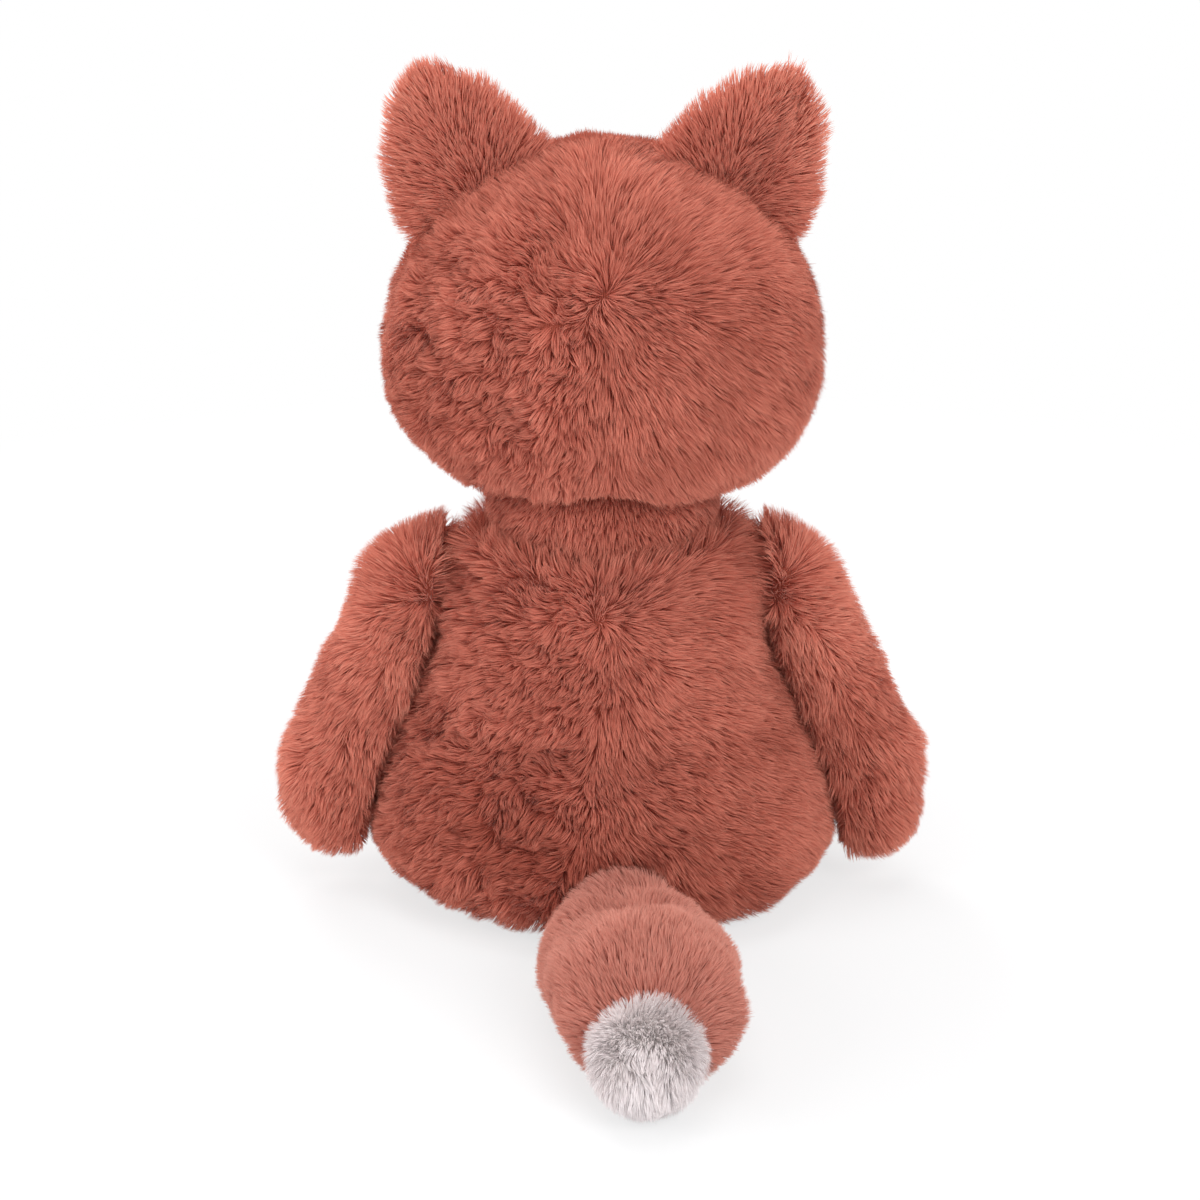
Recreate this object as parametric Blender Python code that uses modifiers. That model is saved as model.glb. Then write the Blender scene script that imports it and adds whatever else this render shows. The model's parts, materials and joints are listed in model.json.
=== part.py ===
"""A plush fox that sits with its legs in front of it and its tail on the floor behind it.

It is sewn from long-pile fur and stuffed: fur skins, the filling inside them, a bag of
pellets in the seat, and the eyes and the nose with the washers that lock them. A solid of
fur is the pile and its backing together, so its outer face is where the pile ends.
The fox looks along -Y, its left side is +X, and it sits on the plane z = 0. Metres.
"""

import math

import bmesh
import bpy
from mathutils import Euler, Vector

# Clearances, what a cutter runs past the piece that it cuts, and what is close enough to be one,
# or to be moved when a form's cage is rounded off
GAP = 0.0003
JOINT_GAP = 0.0009
NECK_GAP = 0.00095
ARM_GAP = 0.0014
FILLING_GAP = 0.0008
OVERRUN = 0.02
REST_CUT = 0.0005
WELD = 0.00003
GRAIN = 0.00001

# Fur and its backing together
SKIN = 0.012
LIMB_SKIN = 0.009
ARM_WALL = 0.004

# Body
BODY_HEIGHT = 0.160
BODY_WIDTH = 0.168
BODY_DEPTH = 0.142
TUMMY_WIDTH = 0.092
TUMMY_HEIGHT = 0.104
TUMMY_Z = 0.076

# Pellet bag in the seat
BEAN_WIDTH = 0.112
BEAN_DEPTH = 0.066
BEAN_HEIGHT = 0.030
BEAN_Y = 0.011

# Neck: a ball of firm filling that the head turns and nods on
NECK_RADIUS = 0.044
NECK_Z = 0.148

# Head
HEAD_BASE_Z = 0.1365
HEAD_HEIGHT = 0.1345
HEAD_WIDTH = 0.151
HEAD_DEPTH = 0.128
CHEEK_X = 0.046
CHEEK_Z = 0.168
CHEEK_WIDTH = 0.060
CHEEK_HEIGHT = 0.046
CHEEK_BACK_Y = -0.020

# Muzzle
MUZZLE_Z = 0.172
MUZZLE_BACK_Y = -0.038
MUZZLE_LENGTH = 0.049
MUZZLE_WIDTH = 0.060
MUZZLE_HEIGHT = 0.044

# Eyes and nose, each on a shank that a washer locks
EYE_RADIUS = 0.0070
EYE_HEIGHT = 0.0062
EYE_X = 0.032
EYE_Y = -0.0545
EYE_Z = 0.203
EYE_TURN = math.radians(22.0)
NOSE_RADIUS = 0.0085
NOSE_HEIGHT = 0.0075
NOSE_SUNK = 0.0030
NOSE_RISE = 0.004
RIM_HEIGHT = 0.0008
SHANK_RADIUS = 0.0022
SHANK_LENGTH = 0.016
WASHER_RADIUS = 0.0065
WASHER_THICK = 0.0016
WASHER_DEPTH = 0.0105

# Ears, each on a hinge line sunk in the head
EAR_X = 0.041
EAR_Y = 0.002
EAR_Z = 0.2500
EAR_HEIGHT = 0.052
EAR_WIDTH = 0.060
EAR_THICK = 0.020
EAR_LEANS = {"left": math.radians(25.0), "right": math.radians(29.0)}
EAR_TIP_CURL = 0.004
EAR_SWING = math.radians(18.0)
LINING_WIDTH = 0.034
LINING_HEIGHT = 0.036
LINING_Z = 0.026
LINING_SUNK = 0.004

# Arms, hanging from the shoulders
SHOULDER_X = 0.050
SHOULDER_Z = 0.120
ARM_BASE_Z = 0.009
ARM_HEIGHT = 0.132
ARM_WIDTH = 0.041
ARM_DEPTH = 0.042
ARM_REACH = 0.046
ARM_Y = 0.0

# Legs, forward from the hips
HIP_X = 0.037
HIP_Y = -0.052
HIP_Z = 0.0255
LEG_RADIUS = 0.026
LEG_LENGTH = 0.100
LEG_SPLAY = math.radians(8.0)
LEG_RAISED = math.radians(-12.0)
LEG_LOWERED = math.radians(75.0)
SOLE_THICK = 0.006
SOLE_WIDTH = 0.032
SOLE_HEIGHT = 0.040
SOLE_RISE_SHARE = 0.25

# Tail, back from its root along the floor
TAIL_X = -0.006
TAIL_Y = 0.070
TAIL_ROOT_RADIUS = 0.019
TAIL_Z = 0.021
TAIL_RADIUS = 0.0315
TAIL_LENGTH = 0.129
TIP_RADIUS = 0.0200
TIP_LENGTH = 0.036
TIP_SUNK = 0.013
TIP_Z = 0.0200
TAIL_TURN = math.radians(6.0)
TAIL_SWING = math.radians(30.0)

# Holes that the limbs are stuffed through
HOLE_RADIUS = 0.006
HOLE_DEPTH = 0.014

# How finely the forms are made
BODY_SIDES = 14
LIMB_SIDES = 10
CORE_SIDES = 8
NECK_SIDES = 24
ROUND_SIDES = 20
SMALL_SIDES = 16
FAN_STEPS = 8
PULLS = 5
DOME_STEPS = 4
PATH_STEPS = 10
SWING_STEPS = 10

# Rings of each form, from its low or near end to its other end: the place along the form, the
# half width, the half depth, and how far the ring is moved sideways along X and along Y.
BODY_RING_SHARES = (
    (0.000, 0.00, 0.00, 0.0, 0.0),
    (0.000, 0.52, 0.52, 0.0, 0.0),
    (0.030, 0.86, 0.86, 0.0, 0.0),
    (0.110, 1.00, 1.00, 0.0, 0.0),
    (0.230, 0.965, 0.98, 0.0, 0.0),
    (0.380, 0.850, 0.91, 0.0, 0.0),
    (0.550, 0.715, 0.80, 0.0, 0.0),
    (0.720, 0.615, 0.70, 0.0, 0.0),
    (0.870, 0.530, 0.60, 0.0, 0.0),
    (0.960, 0.390, 0.43, 0.0, 0.0),
    (1.000, 0.00, 0.00, 0.0, 0.0),
)
HEAD_RING_SHARES = (
    (0.000, 0.00, 0.00, 0.0, 0.0),
    (0.045, 0.42, 0.44, 0.0, 0.0),
    (0.150, 0.76, 0.76, 0.0, 0.0),
    (0.300, 0.965, 0.94, 0.0, 0.0),
    (0.480, 1.000, 1.00, 0.0, 0.0),
    (0.660, 0.925, 0.96, 0.0, 0.0),
    (0.820, 0.740, 0.79, 0.0, 0.0),
    (0.945, 0.420, 0.46, 0.0, 0.0),
    (1.000, 0.00, 0.00, 0.0, 0.0),
)
ARM_RING_SHARES = (
    (0.00, 0.00, 0.00, 1.00, 0.0),
    (0.03, 0.50, 0.50, 1.00, 0.0),
    (0.12, 0.82, 0.82, 1.00, 0.0),
    (0.28, 0.99, 0.98, 0.96, 0.0),
    (0.46, 1.00, 1.00, 0.77, 0.0),
    (0.64, 0.99, 1.00, 0.54, 0.0),
    (0.82, 0.93, 0.95, 0.29, 0.0),
    (0.94, 0.62, 0.68, 0.11, 0.0),
    (1.00, 0.00, 0.00, 0.00, 0.0),
)
LEG_RING_SHARES = (
    (0.00, 0.00, 0.00, 0.0, 0.00),
    (0.05, 0.61, 0.61, 0.0, 0.00),
    (0.14, 0.91, 0.91, 0.0, 0.00),
    (0.34, 1.00, 1.00, 0.0, 0.00),
    (0.58, 0.97, 0.98, 0.0, 0.00),
    (0.76, 1.04, 1.13, 0.0, 0.17),
    (0.92, 1.06, 1.25, 0.0, 0.29),
    (1.00, 0.76, 0.90, 0.0, 0.25),
    (1.00, 0.00, 0.00, 0.0, 0.25),
)
TAIL_RING_SHARES = (
    (0.00, 0.00, 0.00, 0.0, 0.00),
    (0.05, 0.45, 0.45, 0.0, 0.00),
    (0.105, 0.58, 0.58, 0.0, 0.00),
    (0.17, 0.69, 0.61, 0.0, -0.01),
    (0.44, 0.92, 0.68, 0.0, 0.05),
    (0.72, 1.00, 0.79, 0.0, 0.13),
    (0.90, 0.85, 0.68, 0.0, 0.06),
    (1.00, 0.47, 0.40, 0.0, -0.03),
    (1.00, 0.00, 0.00, 0.0, -0.03),
)
TIP_RING_SHARES = (
    (0.00, 0.00, 0.00, 0.0, 0.0),
    (0.00, 0.55, 0.55, 0.0, 0.0),
    (0.10, 0.96, 0.96, 0.0, 0.0),
    (0.48, 0.99, 0.99, 0.0, 0.0),
    (0.85, 0.62, 0.62, 0.0, 0.0),
    (1.00, 0.00, 0.00, 0.0, 0.0),
)
EAR_RING_SHARES = (
    (0.00, 0.00, 0.00, 0.0, 0.0),
    (0.04, 0.78, 0.62, 0.0, 0.0),
    (0.15, 1.00, 1.00, 0.0, 0.0),
    (0.42, 0.90, 0.94, 0.0, 0.0),
    (0.72, 0.66, 0.80, 0.0, 0.5),
    (0.92, 0.38, 0.58, 0.0, 1.0),
    (1.00, 0.00, 0.00, 0.0, 1.0),
)
MUZZLE_RING_SHARES = (
    (0.00, 0.00, 0.00, 0.0, 0.0),
    (0.02, 0.80, 0.80, 0.0, 0.0),
    (0.35, 1.00, 1.00, 0.0, 0.0),
    (0.72, 0.74, 0.78, 0.0, 0.0),
    (0.94, 0.38, 0.45, 0.0, 0.0),
    (1.00, 0.00, 0.00, 0.0, 0.0),
)
BEAN_RING_SHARES = (
    (0.00, 0.00, 0.00, 0.0, 0.0),
    (0.00, 0.50, 0.50, 0.0, 0.0),
    (0.16, 0.88, 0.88, 0.0, 0.0),
    (0.50, 1.00, 1.00, 0.0, 0.0),
    (0.84, 0.80, 0.80, 0.0, 0.0),
    (1.00, 0.00, 0.00, 0.0, 0.0),
)

SIDES = (("left", 1.0), ("right", -1.0))


def start_collection(name):
    collection = bpy.data.collections.new(name)
    bpy.context.scene.collection.children.link(collection)
    return collection


for old in list(bpy.data.objects):
    bpy.data.objects.remove(old, do_unlink=True)
PARTS = start_collection("plush_fox")
CUTTERS = start_collection("cutters")


def make_material(name, color, roughness, metallic=0.0):
    material = bpy.data.materials.new(name)
    material.use_nodes = True
    shader = material.node_tree.nodes["Principled BSDF"]
    shader.inputs["Base Color"].default_value = (*color, 1.0)
    shader.inputs["Roughness"].default_value = roughness
    shader.inputs["Metallic"].default_value = metallic
    material.diffuse_color = (*color, 1.0)
    return material


RUST_FUR = make_material("rust_fur", (0.46, 0.115, 0.065), 0.95)
CREAM_FUR = make_material("cream_fur", (0.80, 0.70, 0.66), 0.95)
SHORT_PILE = make_material("short_pile", (0.62, 0.47, 0.40), 0.90)
FILLING = make_material("polyester_filling", (0.85, 0.85, 0.83), 0.95)
PELLET_BAG = make_material("pellet_bag", (0.70, 0.68, 0.62), 0.85)
BLACK_PLASTIC = make_material("black_plastic", (0.012, 0.010, 0.010), 0.15)
WASHER_PLASTIC = make_material("washer_plastic", (0.78, 0.78, 0.76), 0.45)


def place(piece, material, location, rotation):
    """Puts a solid in the fox's collection, or a cutter with no material among the cutters."""
    piece.location = location
    piece.rotation_euler = rotation
    piece.data.shade_smooth()
    if material is None:
        CUTTERS.objects.link(piece)
        piece.hide_render = True
        piece.display_type = "WIRE"
        return piece
    PARTS.objects.link(piece)
    piece.data.materials.append(material)
    return piece


def pull_through(form, wanted):
    """Moves the cage until the smooth form passes through the wanted points."""
    for _ in range(PULLS):
        graph = bpy.context.evaluated_depsgraph_get()
        smooth = form.evaluated_get(graph).data
        moves = [target - smooth.vertices[index].co for index, target in enumerate(wanted)]
        for vertex, move in zip(form.data.vertices, moves):
            vertex.co = [round(value / GRAIN) * GRAIN for value in vertex.co + move]
        form.data.update()


def soft_form(name, material, rings, size, start, location, rotation=(0.0, 0.0, 0.0),
              reach=(0.0, 0.0), sides=LIMB_SIDES):
    """A closed stuffed form along its own +Z, from start. Size is its width, depth and length."""
    width, depth, length = size
    steps = len(rings) - 1
    cage = bmesh.new()
    bmesh.ops.create_uvsphere(cage, u_segments=sides, v_segments=steps, radius=1.0)
    wanted = []
    for vertex in cage.verts:
        height = max(-1.0, min(1.0, vertex.co.z))
        step = steps - round(math.acos(height) * steps / math.pi)
        along, across, through, side, front = rings[step]
        angle = math.atan2(vertex.co.y, vertex.co.x)
        point = Vector((
            width / 2 * across * math.cos(angle) + reach[0] * side,
            depth / 2 * through * math.sin(angle) + reach[1] * front,
            start + length * along,
        ))
        wanted.append(point)
        vertex.co = point
    mesh = bpy.data.meshes.new(name)
    cage.to_mesh(mesh)
    cage.free()
    form = bpy.data.objects.new(name, mesh)
    smooth = form.modifiers.new("smooth", "SUBSURF")
    smooth.levels = 1
    smooth.render_levels = 1
    place(form, material, location, rotation)
    pull_through(form, wanted)
    return form


def turned(name, material, profile, location, rotation, sides=SMALL_SIDES, closed=False):
    """A solid turned about its own Z. Its profile runs down its outer side, top to bottom."""
    mesh = bpy.data.meshes.new(name)
    line = bmesh.new()
    corners = [line.verts.new((radius, 0.0, height)) for radius, height in profile]
    if closed:
        corners.append(corners[0])
    for first, second in zip(corners, corners[1:]):
        line.edges.new((first, second))
    line.to_mesh(mesh)
    line.free()
    piece = bpy.data.objects.new(name, mesh)
    screw = piece.modifiers.new("turn", "SCREW")
    screw.steps = sides
    screw.render_steps = sides
    screw.use_merge_vertices = True
    screw.merge_threshold = WELD
    screw.use_smooth_shade = False
    return place(piece, material, location, rotation)


def ball(name, material, radius, location, rotation=(0.0, 0.0, 0.0), sides=ROUND_SIDES):
    mesh = bpy.data.meshes.new(name)
    form = bmesh.new()
    bmesh.ops.create_uvsphere(form, u_segments=sides, v_segments=sides // 2, radius=radius)
    form.to_mesh(mesh)
    form.free()
    return place(bpy.data.objects.new(name, mesh), material, location, rotation)


def oval_bar(name, size, location, rotation=(0.0, 0.0, 0.0)):
    """A cutter with an oval outline, size being its width, its height and its length along Z."""
    mesh = bpy.data.meshes.new(name)
    form = bmesh.new()
    bmesh.ops.create_cone(form, cap_ends=True, segments=ROUND_SIDES,
                          radius1=1.0, radius2=1.0, depth=1.0)
    for vertex in form.verts:
        vertex.co.x *= size[0] / 2
        vertex.co.y *= size[1] / 2
        vertex.co.z *= size[2]
    form.to_mesh(mesh)
    form.free()
    return place(bpy.data.objects.new(name, mesh), None, location, rotation)


def cut(piece, *tools, solver="EXACT"):
    for tool in tools:
        step = piece.modifiers.new("cut_" + tool.name, "BOOLEAN")
        step.operation = "DIFFERENCE"
        step.solver = solver
        step.object = tool


def keep_inside(piece, tool):
    step = piece.modifiers.new("inside_" + tool.name, "BOOLEAN")
    step.operation = "INTERSECT"
    step.solver = "EXACT"
    step.object = tool


def floor_cutter():
    mesh = bpy.data.meshes.new("floor_cutter")
    form = bmesh.new()
    bmesh.ops.create_cube(form, size=1.0)
    wide = BODY_WIDTH + 2 * (ARM_WIDTH + TAIL_LENGTH + LEG_LENGTH)
    for vertex in form.verts:
        vertex.co *= wide
        vertex.co.z -= wide / 2
    form.to_mesh(mesh)
    form.free()
    ground = bpy.data.objects.new("floor_cutter", mesh)
    return place(ground, None, (0.0, 0.0, 0.0), (0.0, 0.0, 0.0))


BODY_SIZE = (BODY_WIDTH, BODY_DEPTH, BODY_HEIGHT + REST_CUT)
HEAD_SIZE = (HEAD_WIDTH, HEAD_DEPTH, HEAD_HEIGHT)
ARM_SIZE = (ARM_WIDTH, ARM_DEPTH, ARM_HEIGHT)
LEG_SIZE = (2 * LEG_RADIUS, 2 * LEG_RADIUS, LEG_LENGTH + LEG_RADIUS)
TAIL_SIZE = (2 * TAIL_RADIUS, 2 * TAIL_RADIUS, TAIL_LENGTH)

FLOOR = floor_cutter()


def body_half_width(height):
    """The body's half width at a height, read between the rings of its table."""
    for low, high in zip(BODY_RING_SHARES[1:], BODY_RING_SHARES[2:]):
        if low[0] * BODY_HEIGHT <= height <= high[0] * BODY_HEIGHT:
            share = (height / BODY_HEIGHT - low[0]) / (high[0] - low[0])
            return BODY_WIDTH / 2 * (low[1] + share * (high[1] - low[1]))
    return 0.0


def widened(size, margin):
    return tuple(value + 2 * margin for value in size)


def core_rings(rings):
    """Every other ring of a table, for the plainer form of a filling."""
    return rings[:1] + rings[1:-1:2] + rings[-1:]


def make_body():
    """The fur of the back and the sides, the tummy panel, the filling and the bag of pellets."""
    def form(name, material, margin, rings=BODY_RING_SHARES, sides=BODY_SIDES):
        return soft_form(name, material, rings, widened(BODY_SIZE, margin), -REST_CUT - margin,
                         (0.0, 0.0, 0.0), sides=sides)

    def tummy_bar(name, margin):
        size = (TUMMY_WIDTH + 2 * margin, TUMMY_HEIGHT + 2 * margin, BODY_DEPTH)
        return oval_bar(name, size, (0.0, -BODY_DEPTH / 2, TUMMY_Z), (math.pi / 2, 0.0, 0.0))

    def bean_bag(name, material, margin):
        size = widened((BEAN_WIDTH, BEAN_DEPTH, BEAN_HEIGHT), margin)
        return soft_form(name, material, BEAN_RING_SHARES, size, -margin,
                         (0.0, BEAN_Y, SKIN - REST_CUT + GAP), sides=CORE_SIDES)

    inner = core_rings(BODY_RING_SHARES)
    cavity = form("body_cavity", None, -SKIN, inner, CORE_SIDES)
    fur = form("body_fur", RUST_FUR, 0.0)
    cut(fur, cavity, tummy_bar("tummy_opening", GAP))
    panel = form("tummy_panel", CREAM_FUR, 0.0)
    cut(panel, cavity)
    keep_inside(panel, tummy_bar("tummy_outline", 0.0))
    filling = form("body_filling", FILLING, -SKIN - FILLING_GAP, inner, CORE_SIDES)
    opening = oval_bar("bean_opening", (BEAN_WIDTH, BEAN_DEPTH, BEAN_HEIGHT), (0.0, BEAN_Y, SKIN))
    cut(filling, opening, bean_bag("bean_pocket", None, GAP), solver="MANIFOLD")
    bean_bag("bean_bag", PELLET_BAG, 0.0)
    for piece in (fur, panel, filling):
        cut(piece, *SOCKETS, solver="MANIFOLD")
    for piece in (fur, panel):
        cut(piece, *PATHS, solver="MANIFOLD")
    cut(fur, FLOOR, solver="MANIFOLD")


def make_neck():
    return [ball("neck_filling", FILLING, NECK_RADIUS, (0.0, 0.0, NECK_Z), sides=NECK_SIDES)]


def button_profile(radius, height, shank_length):
    """A domed button on a shank that points down its axis."""
    dome = []
    for step in range(DOME_STEPS + 1):
        angle = math.pi / 2 * (1 - step / DOME_STEPS)
        dome.append((radius * math.cos(angle), height * math.sin(angle)))
    dome[0] = (0.0, height)
    return dome + [
        (radius, -RIM_HEIGHT),
        (SHANK_RADIUS, -RIM_HEIGHT),
        (SHANK_RADIUS, -shank_length),
        (0.0, -shank_length),
    ]


def button_room_profile(radius, height, shank_length):
    """The room that a button, its shank and its washer take up in the fur and the filling."""
    hole = SHANK_RADIUS + GAP
    top = -WASHER_DEPTH + GAP
    low = -WASHER_DEPTH - WASHER_THICK - GAP
    return [
        (0.0, height + OVERRUN),
        (radius + GAP, height + OVERRUN),
        (radius + GAP, -RIM_HEIGHT - GAP),
        (hole, -RIM_HEIGHT - GAP),
        (hole, top),
        (WASHER_RADIUS + GAP, top),
        (WASHER_RADIUS + GAP, low),
        (hole, low),
        (hole, -shank_length - GAP),
        (0.0, -shank_length - GAP),
    ]


def washer_profile():
    """A flat ring that grips the shank."""
    low = -WASHER_DEPTH - WASHER_THICK
    hole = SHANK_RADIUS + GAP
    return [
        (hole, -WASHER_DEPTH),
        (WASHER_RADIUS, -WASHER_DEPTH),
        (WASHER_RADIUS, low),
        (hole, low),
    ]


def make_button(name, radius, height, location, rotation):
    """A button, its washer and the cutter of the room that they need."""
    profile = button_profile(radius, height, SHANK_LENGTH)
    room = button_room_profile(radius, height, SHANK_LENGTH)
    button = turned(name, BLACK_PLASTIC, profile, location, rotation)
    washer = turned(name + "_washer", WASHER_PLASTIC, washer_profile(), location, rotation,
                    closed=True)
    return button, washer, turned(name + "_room", None, room, location, rotation)


def make_head():
    """The fur of the head, its two pale cheeks, the muzzle, the eyes, the nose and the filling."""
    pivot = (0.0, 0.0, NECK_Z)

    def form(name, material, margin, rings=HEAD_RING_SHARES, sides=BODY_SIDES):
        start = HEAD_BASE_Z - NECK_Z - margin
        return soft_form(name, material, rings, widened(HEAD_SIZE, margin), start, pivot, sides=sides)

    def cheek_bar(name, sign, margin):
        length = HEAD_DEPTH
        size = (CHEEK_WIDTH + 2 * margin, CHEEK_HEIGHT + 2 * margin, length)
        center = (sign * CHEEK_X, CHEEK_BACK_Y + margin - length / 2, CHEEK_Z)
        return oval_bar(name, size, center, (math.pi / 2, 0.0, 0.0))

    inner = core_rings(HEAD_RING_SHARES)
    socket = ball("head_socket", None, NECK_RADIUS + NECK_GAP, pivot, sides=NECK_SIDES)
    cavity = form("head_cavity", None, -SKIN, inner, CORE_SIDES)
    fur = form("head_fur", RUST_FUR, 0.0)
    filling = form("head_filling", FILLING, -SKIN - FILLING_GAP, inner, CORE_SIDES)
    pieces = [fur, filling]
    cut(fur, cavity)
    for side, sign in SIDES:
        cheek = form("cheek_" + side, CREAM_FUR, 0.0)
        keep_inside(cheek, cheek_bar("cheek_outline_" + side, sign, 0.0))
        cut(cheek, cavity)
        cut(fur, cheek_bar("cheek_opening_" + side, sign, GAP))
        pieces.append(cheek)
    for side, sign in SIDES:
        place_at = (sign * EYE_X, EYE_Y, EYE_Z)
        turn = (math.pi / 2, 0.0, sign * EYE_TURN)
        eye, washer, room = make_button("eye_" + side, EYE_RADIUS, EYE_HEIGHT, place_at, turn)
        cut(fur, room)
        cut(filling, room)
        pieces += [eye, washer]
    for piece in pieces[:4]:
        cut(piece, socket)
    for piece in pieces[:2]:
        cut(piece, *EAR_SOCKETS)

    muzzle_size = (MUZZLE_WIDTH, MUZZLE_HEIGHT, MUZZLE_LENGTH)
    forward = (math.pi / 2, 0.0, 0.0)
    muzzle = soft_form("muzzle", CREAM_FUR, MUZZLE_RING_SHARES, muzzle_size, 0.0,
                       (0.0, MUZZLE_BACK_Y, MUZZLE_Z), forward)
    tip = (0.0, MUZZLE_BACK_Y - MUZZLE_LENGTH + NOSE_SUNK, MUZZLE_Z + NOSE_RISE)
    nose, washer, room = make_button("nose", NOSE_RADIUS, NOSE_HEIGHT, tip, forward)
    cut(muzzle, form("head_outline", None, GAP), room)
    cut(muzzle, socket, solver="MANIFOLD")
    return pieces + [muzzle, nose, washer]


def ear_form(name, material, side, sign):
    size = (EAR_WIDTH, EAR_THICK, EAR_HEIGHT + EAR_THICK / 2)
    return soft_form(name, material, EAR_RING_SHARES, size, -EAR_THICK / 2,
                     (sign * EAR_X, EAR_Y, EAR_Z), (0.0, sign * EAR_LEANS[side], 0.0),
                     reach=(0.0, -EAR_TIP_CURL))


def make_ear(side, sign):
    """The fur at the back and the edge of an ear, and the short-pile lining in its front."""
    lean = sign * EAR_LEANS[side]

    def lining_bar(name, margin):
        size = (LINING_WIDTH + 2 * margin, LINING_HEIGHT + 2 * margin, EAR_THICK)
        center = Vector((0.0, margin - LINING_SUNK - EAR_THICK / 2, LINING_Z))
        center.rotate(Euler((0.0, lean, 0.0)))
        center += Vector((sign * EAR_X, EAR_Y, EAR_Z))
        return oval_bar(name, size, center, (math.pi / 2, lean, 0.0))

    fur = ear_form("ear_" + side, RUST_FUR, side, sign)
    cut(fur, lining_bar("lining_room_" + side, GAP))
    lining = ear_form("ear_lining_" + side, SHORT_PILE, side, sign)
    keep_inside(lining, lining_bar("lining_outline_" + side, 0.0))
    return [fur, lining]


def ear_socket(side, sign):
    """The slot that an ear swings in: its rounded foot, and flanks that open by the swing."""
    radius = EAR_THICK / 2 + JOINT_GAP
    outline = []
    for step in range(FAN_STEPS + 1):
        angle = math.pi + EAR_SWING + step / FAN_STEPS * (math.pi - 2 * EAR_SWING)
        outline.append((radius * math.cos(angle), radius * math.sin(angle)))
    rise = EAR_THICK
    spread = radius / math.cos(EAR_SWING) + rise * math.tan(EAR_SWING)
    outline += [(spread, rise), (-spread, rise)]
    mesh = bpy.data.meshes.new("ear_socket_" + side)
    form = bmesh.new()
    half = EAR_WIDTH / 2 + JOINT_GAP
    face = form.faces.new([form.verts.new((-half, across, up)) for across, up in outline])
    moved = bmesh.ops.extrude_face_region(form, geom=[face])["geom"]
    for vertex in moved:
        if isinstance(vertex, bmesh.types.BMVert):
            vertex.co.x = half
    bmesh.ops.recalc_face_normals(form, faces=form.faces)
    form.to_mesh(mesh)
    form.free()
    socket = bpy.data.objects.new("ear_socket_" + side, mesh)
    return place(socket, None, (sign * EAR_X, EAR_Y, EAR_Z), (0.0, sign * EAR_LEANS[side], 0.0))


def stuffing_hole(name, location, rotation):
    """The hole at a limb's root that it is stuffed through, before it is sewn on."""
    size = (2 * HOLE_RADIUS, 2 * HOLE_RADIUS, 2 * HOLE_DEPTH)
    return oval_bar(name, size, location, rotation)


def shoulder_path(name, sign, margin=0.0):
    """The side of the body as an arm passes it, turned about the shoulder's axis."""
    widest = max(range(len(BODY_RING_SHARES)), key=lambda index: BODY_RING_SHARES[index][1])
    lowest = BODY_RING_SHARES[widest][0] * BODY_HEIGHT
    profile = []
    for step in range(PATH_STEPS + 1):
        height = SHOULDER_Z + step / PATH_STEPS * (lowest - SHOULDER_Z)
        profile.append((SHOULDER_Z - height, body_half_width(height) + ARM_GAP + margin))
    edge = profile[-1][1]
    profile += [(ARM_HEIGHT + OVERRUN, edge), (ARM_HEIGHT + OVERRUN, 0.0), (0.0, 0.0)]
    return turned(name, None, profile, (0.0, ARM_Y, SHOULDER_Z),
                  (0.0, sign * math.pi / 2, 0.0), ROUND_SIDES)


def make_arm(side, sign):
    """An arm's fur and its filling, cut where the body's side is through its swing."""
    shoulder = (sign * SHOULDER_X, ARM_Y, SHOULDER_Z)

    def form(name, material, margin, rings=ARM_RING_SHARES, sides=LIMB_SIDES):
        start = ARM_BASE_Z - SHOULDER_Z - margin
        return soft_form(name, material, rings, widened(ARM_SIZE, margin), start, shoulder,
                         reach=(sign * ARM_REACH, 0.0), sides=sides)

    path = shoulder_path("shoulder_path_" + side, sign)
    inner = core_rings(ARM_RING_SHARES)
    fur = form("arm_" + side, RUST_FUR, 0.0)
    cavity = form("arm_cavity_" + side, None, -LIMB_SKIN, inner, CORE_SIDES)
    cut(cavity, shoulder_path("arm_wall_" + side, sign, ARM_WALL))
    cut(fur, cavity, stuffing_hole("arm_hole_" + side, shoulder, (0.0, math.pi / 2, 0.0)), path)
    filling = form("arm_filling_" + side, FILLING, -LIMB_SKIN - FILLING_GAP, inner, CORE_SIDES)
    cut(filling, shoulder_path("arm_filling_side_" + side, sign, ARM_WALL + FILLING_GAP))
    return [fur, filling]


def leg_form(name, material, sign, margin, lowered=0.0, rings=LEG_RING_SHARES, sides=LIMB_SIDES):
    return soft_form(name, material, rings, widened(LEG_SIZE, margin), -LEG_RADIUS - margin,
                     (sign * HIP_X, HIP_Y, HIP_Z), (math.pi / 2 + lowered, 0.0, sign * LEG_SPLAY),
                     reach=(0.0, LEG_RADIUS), sides=sides)


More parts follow.
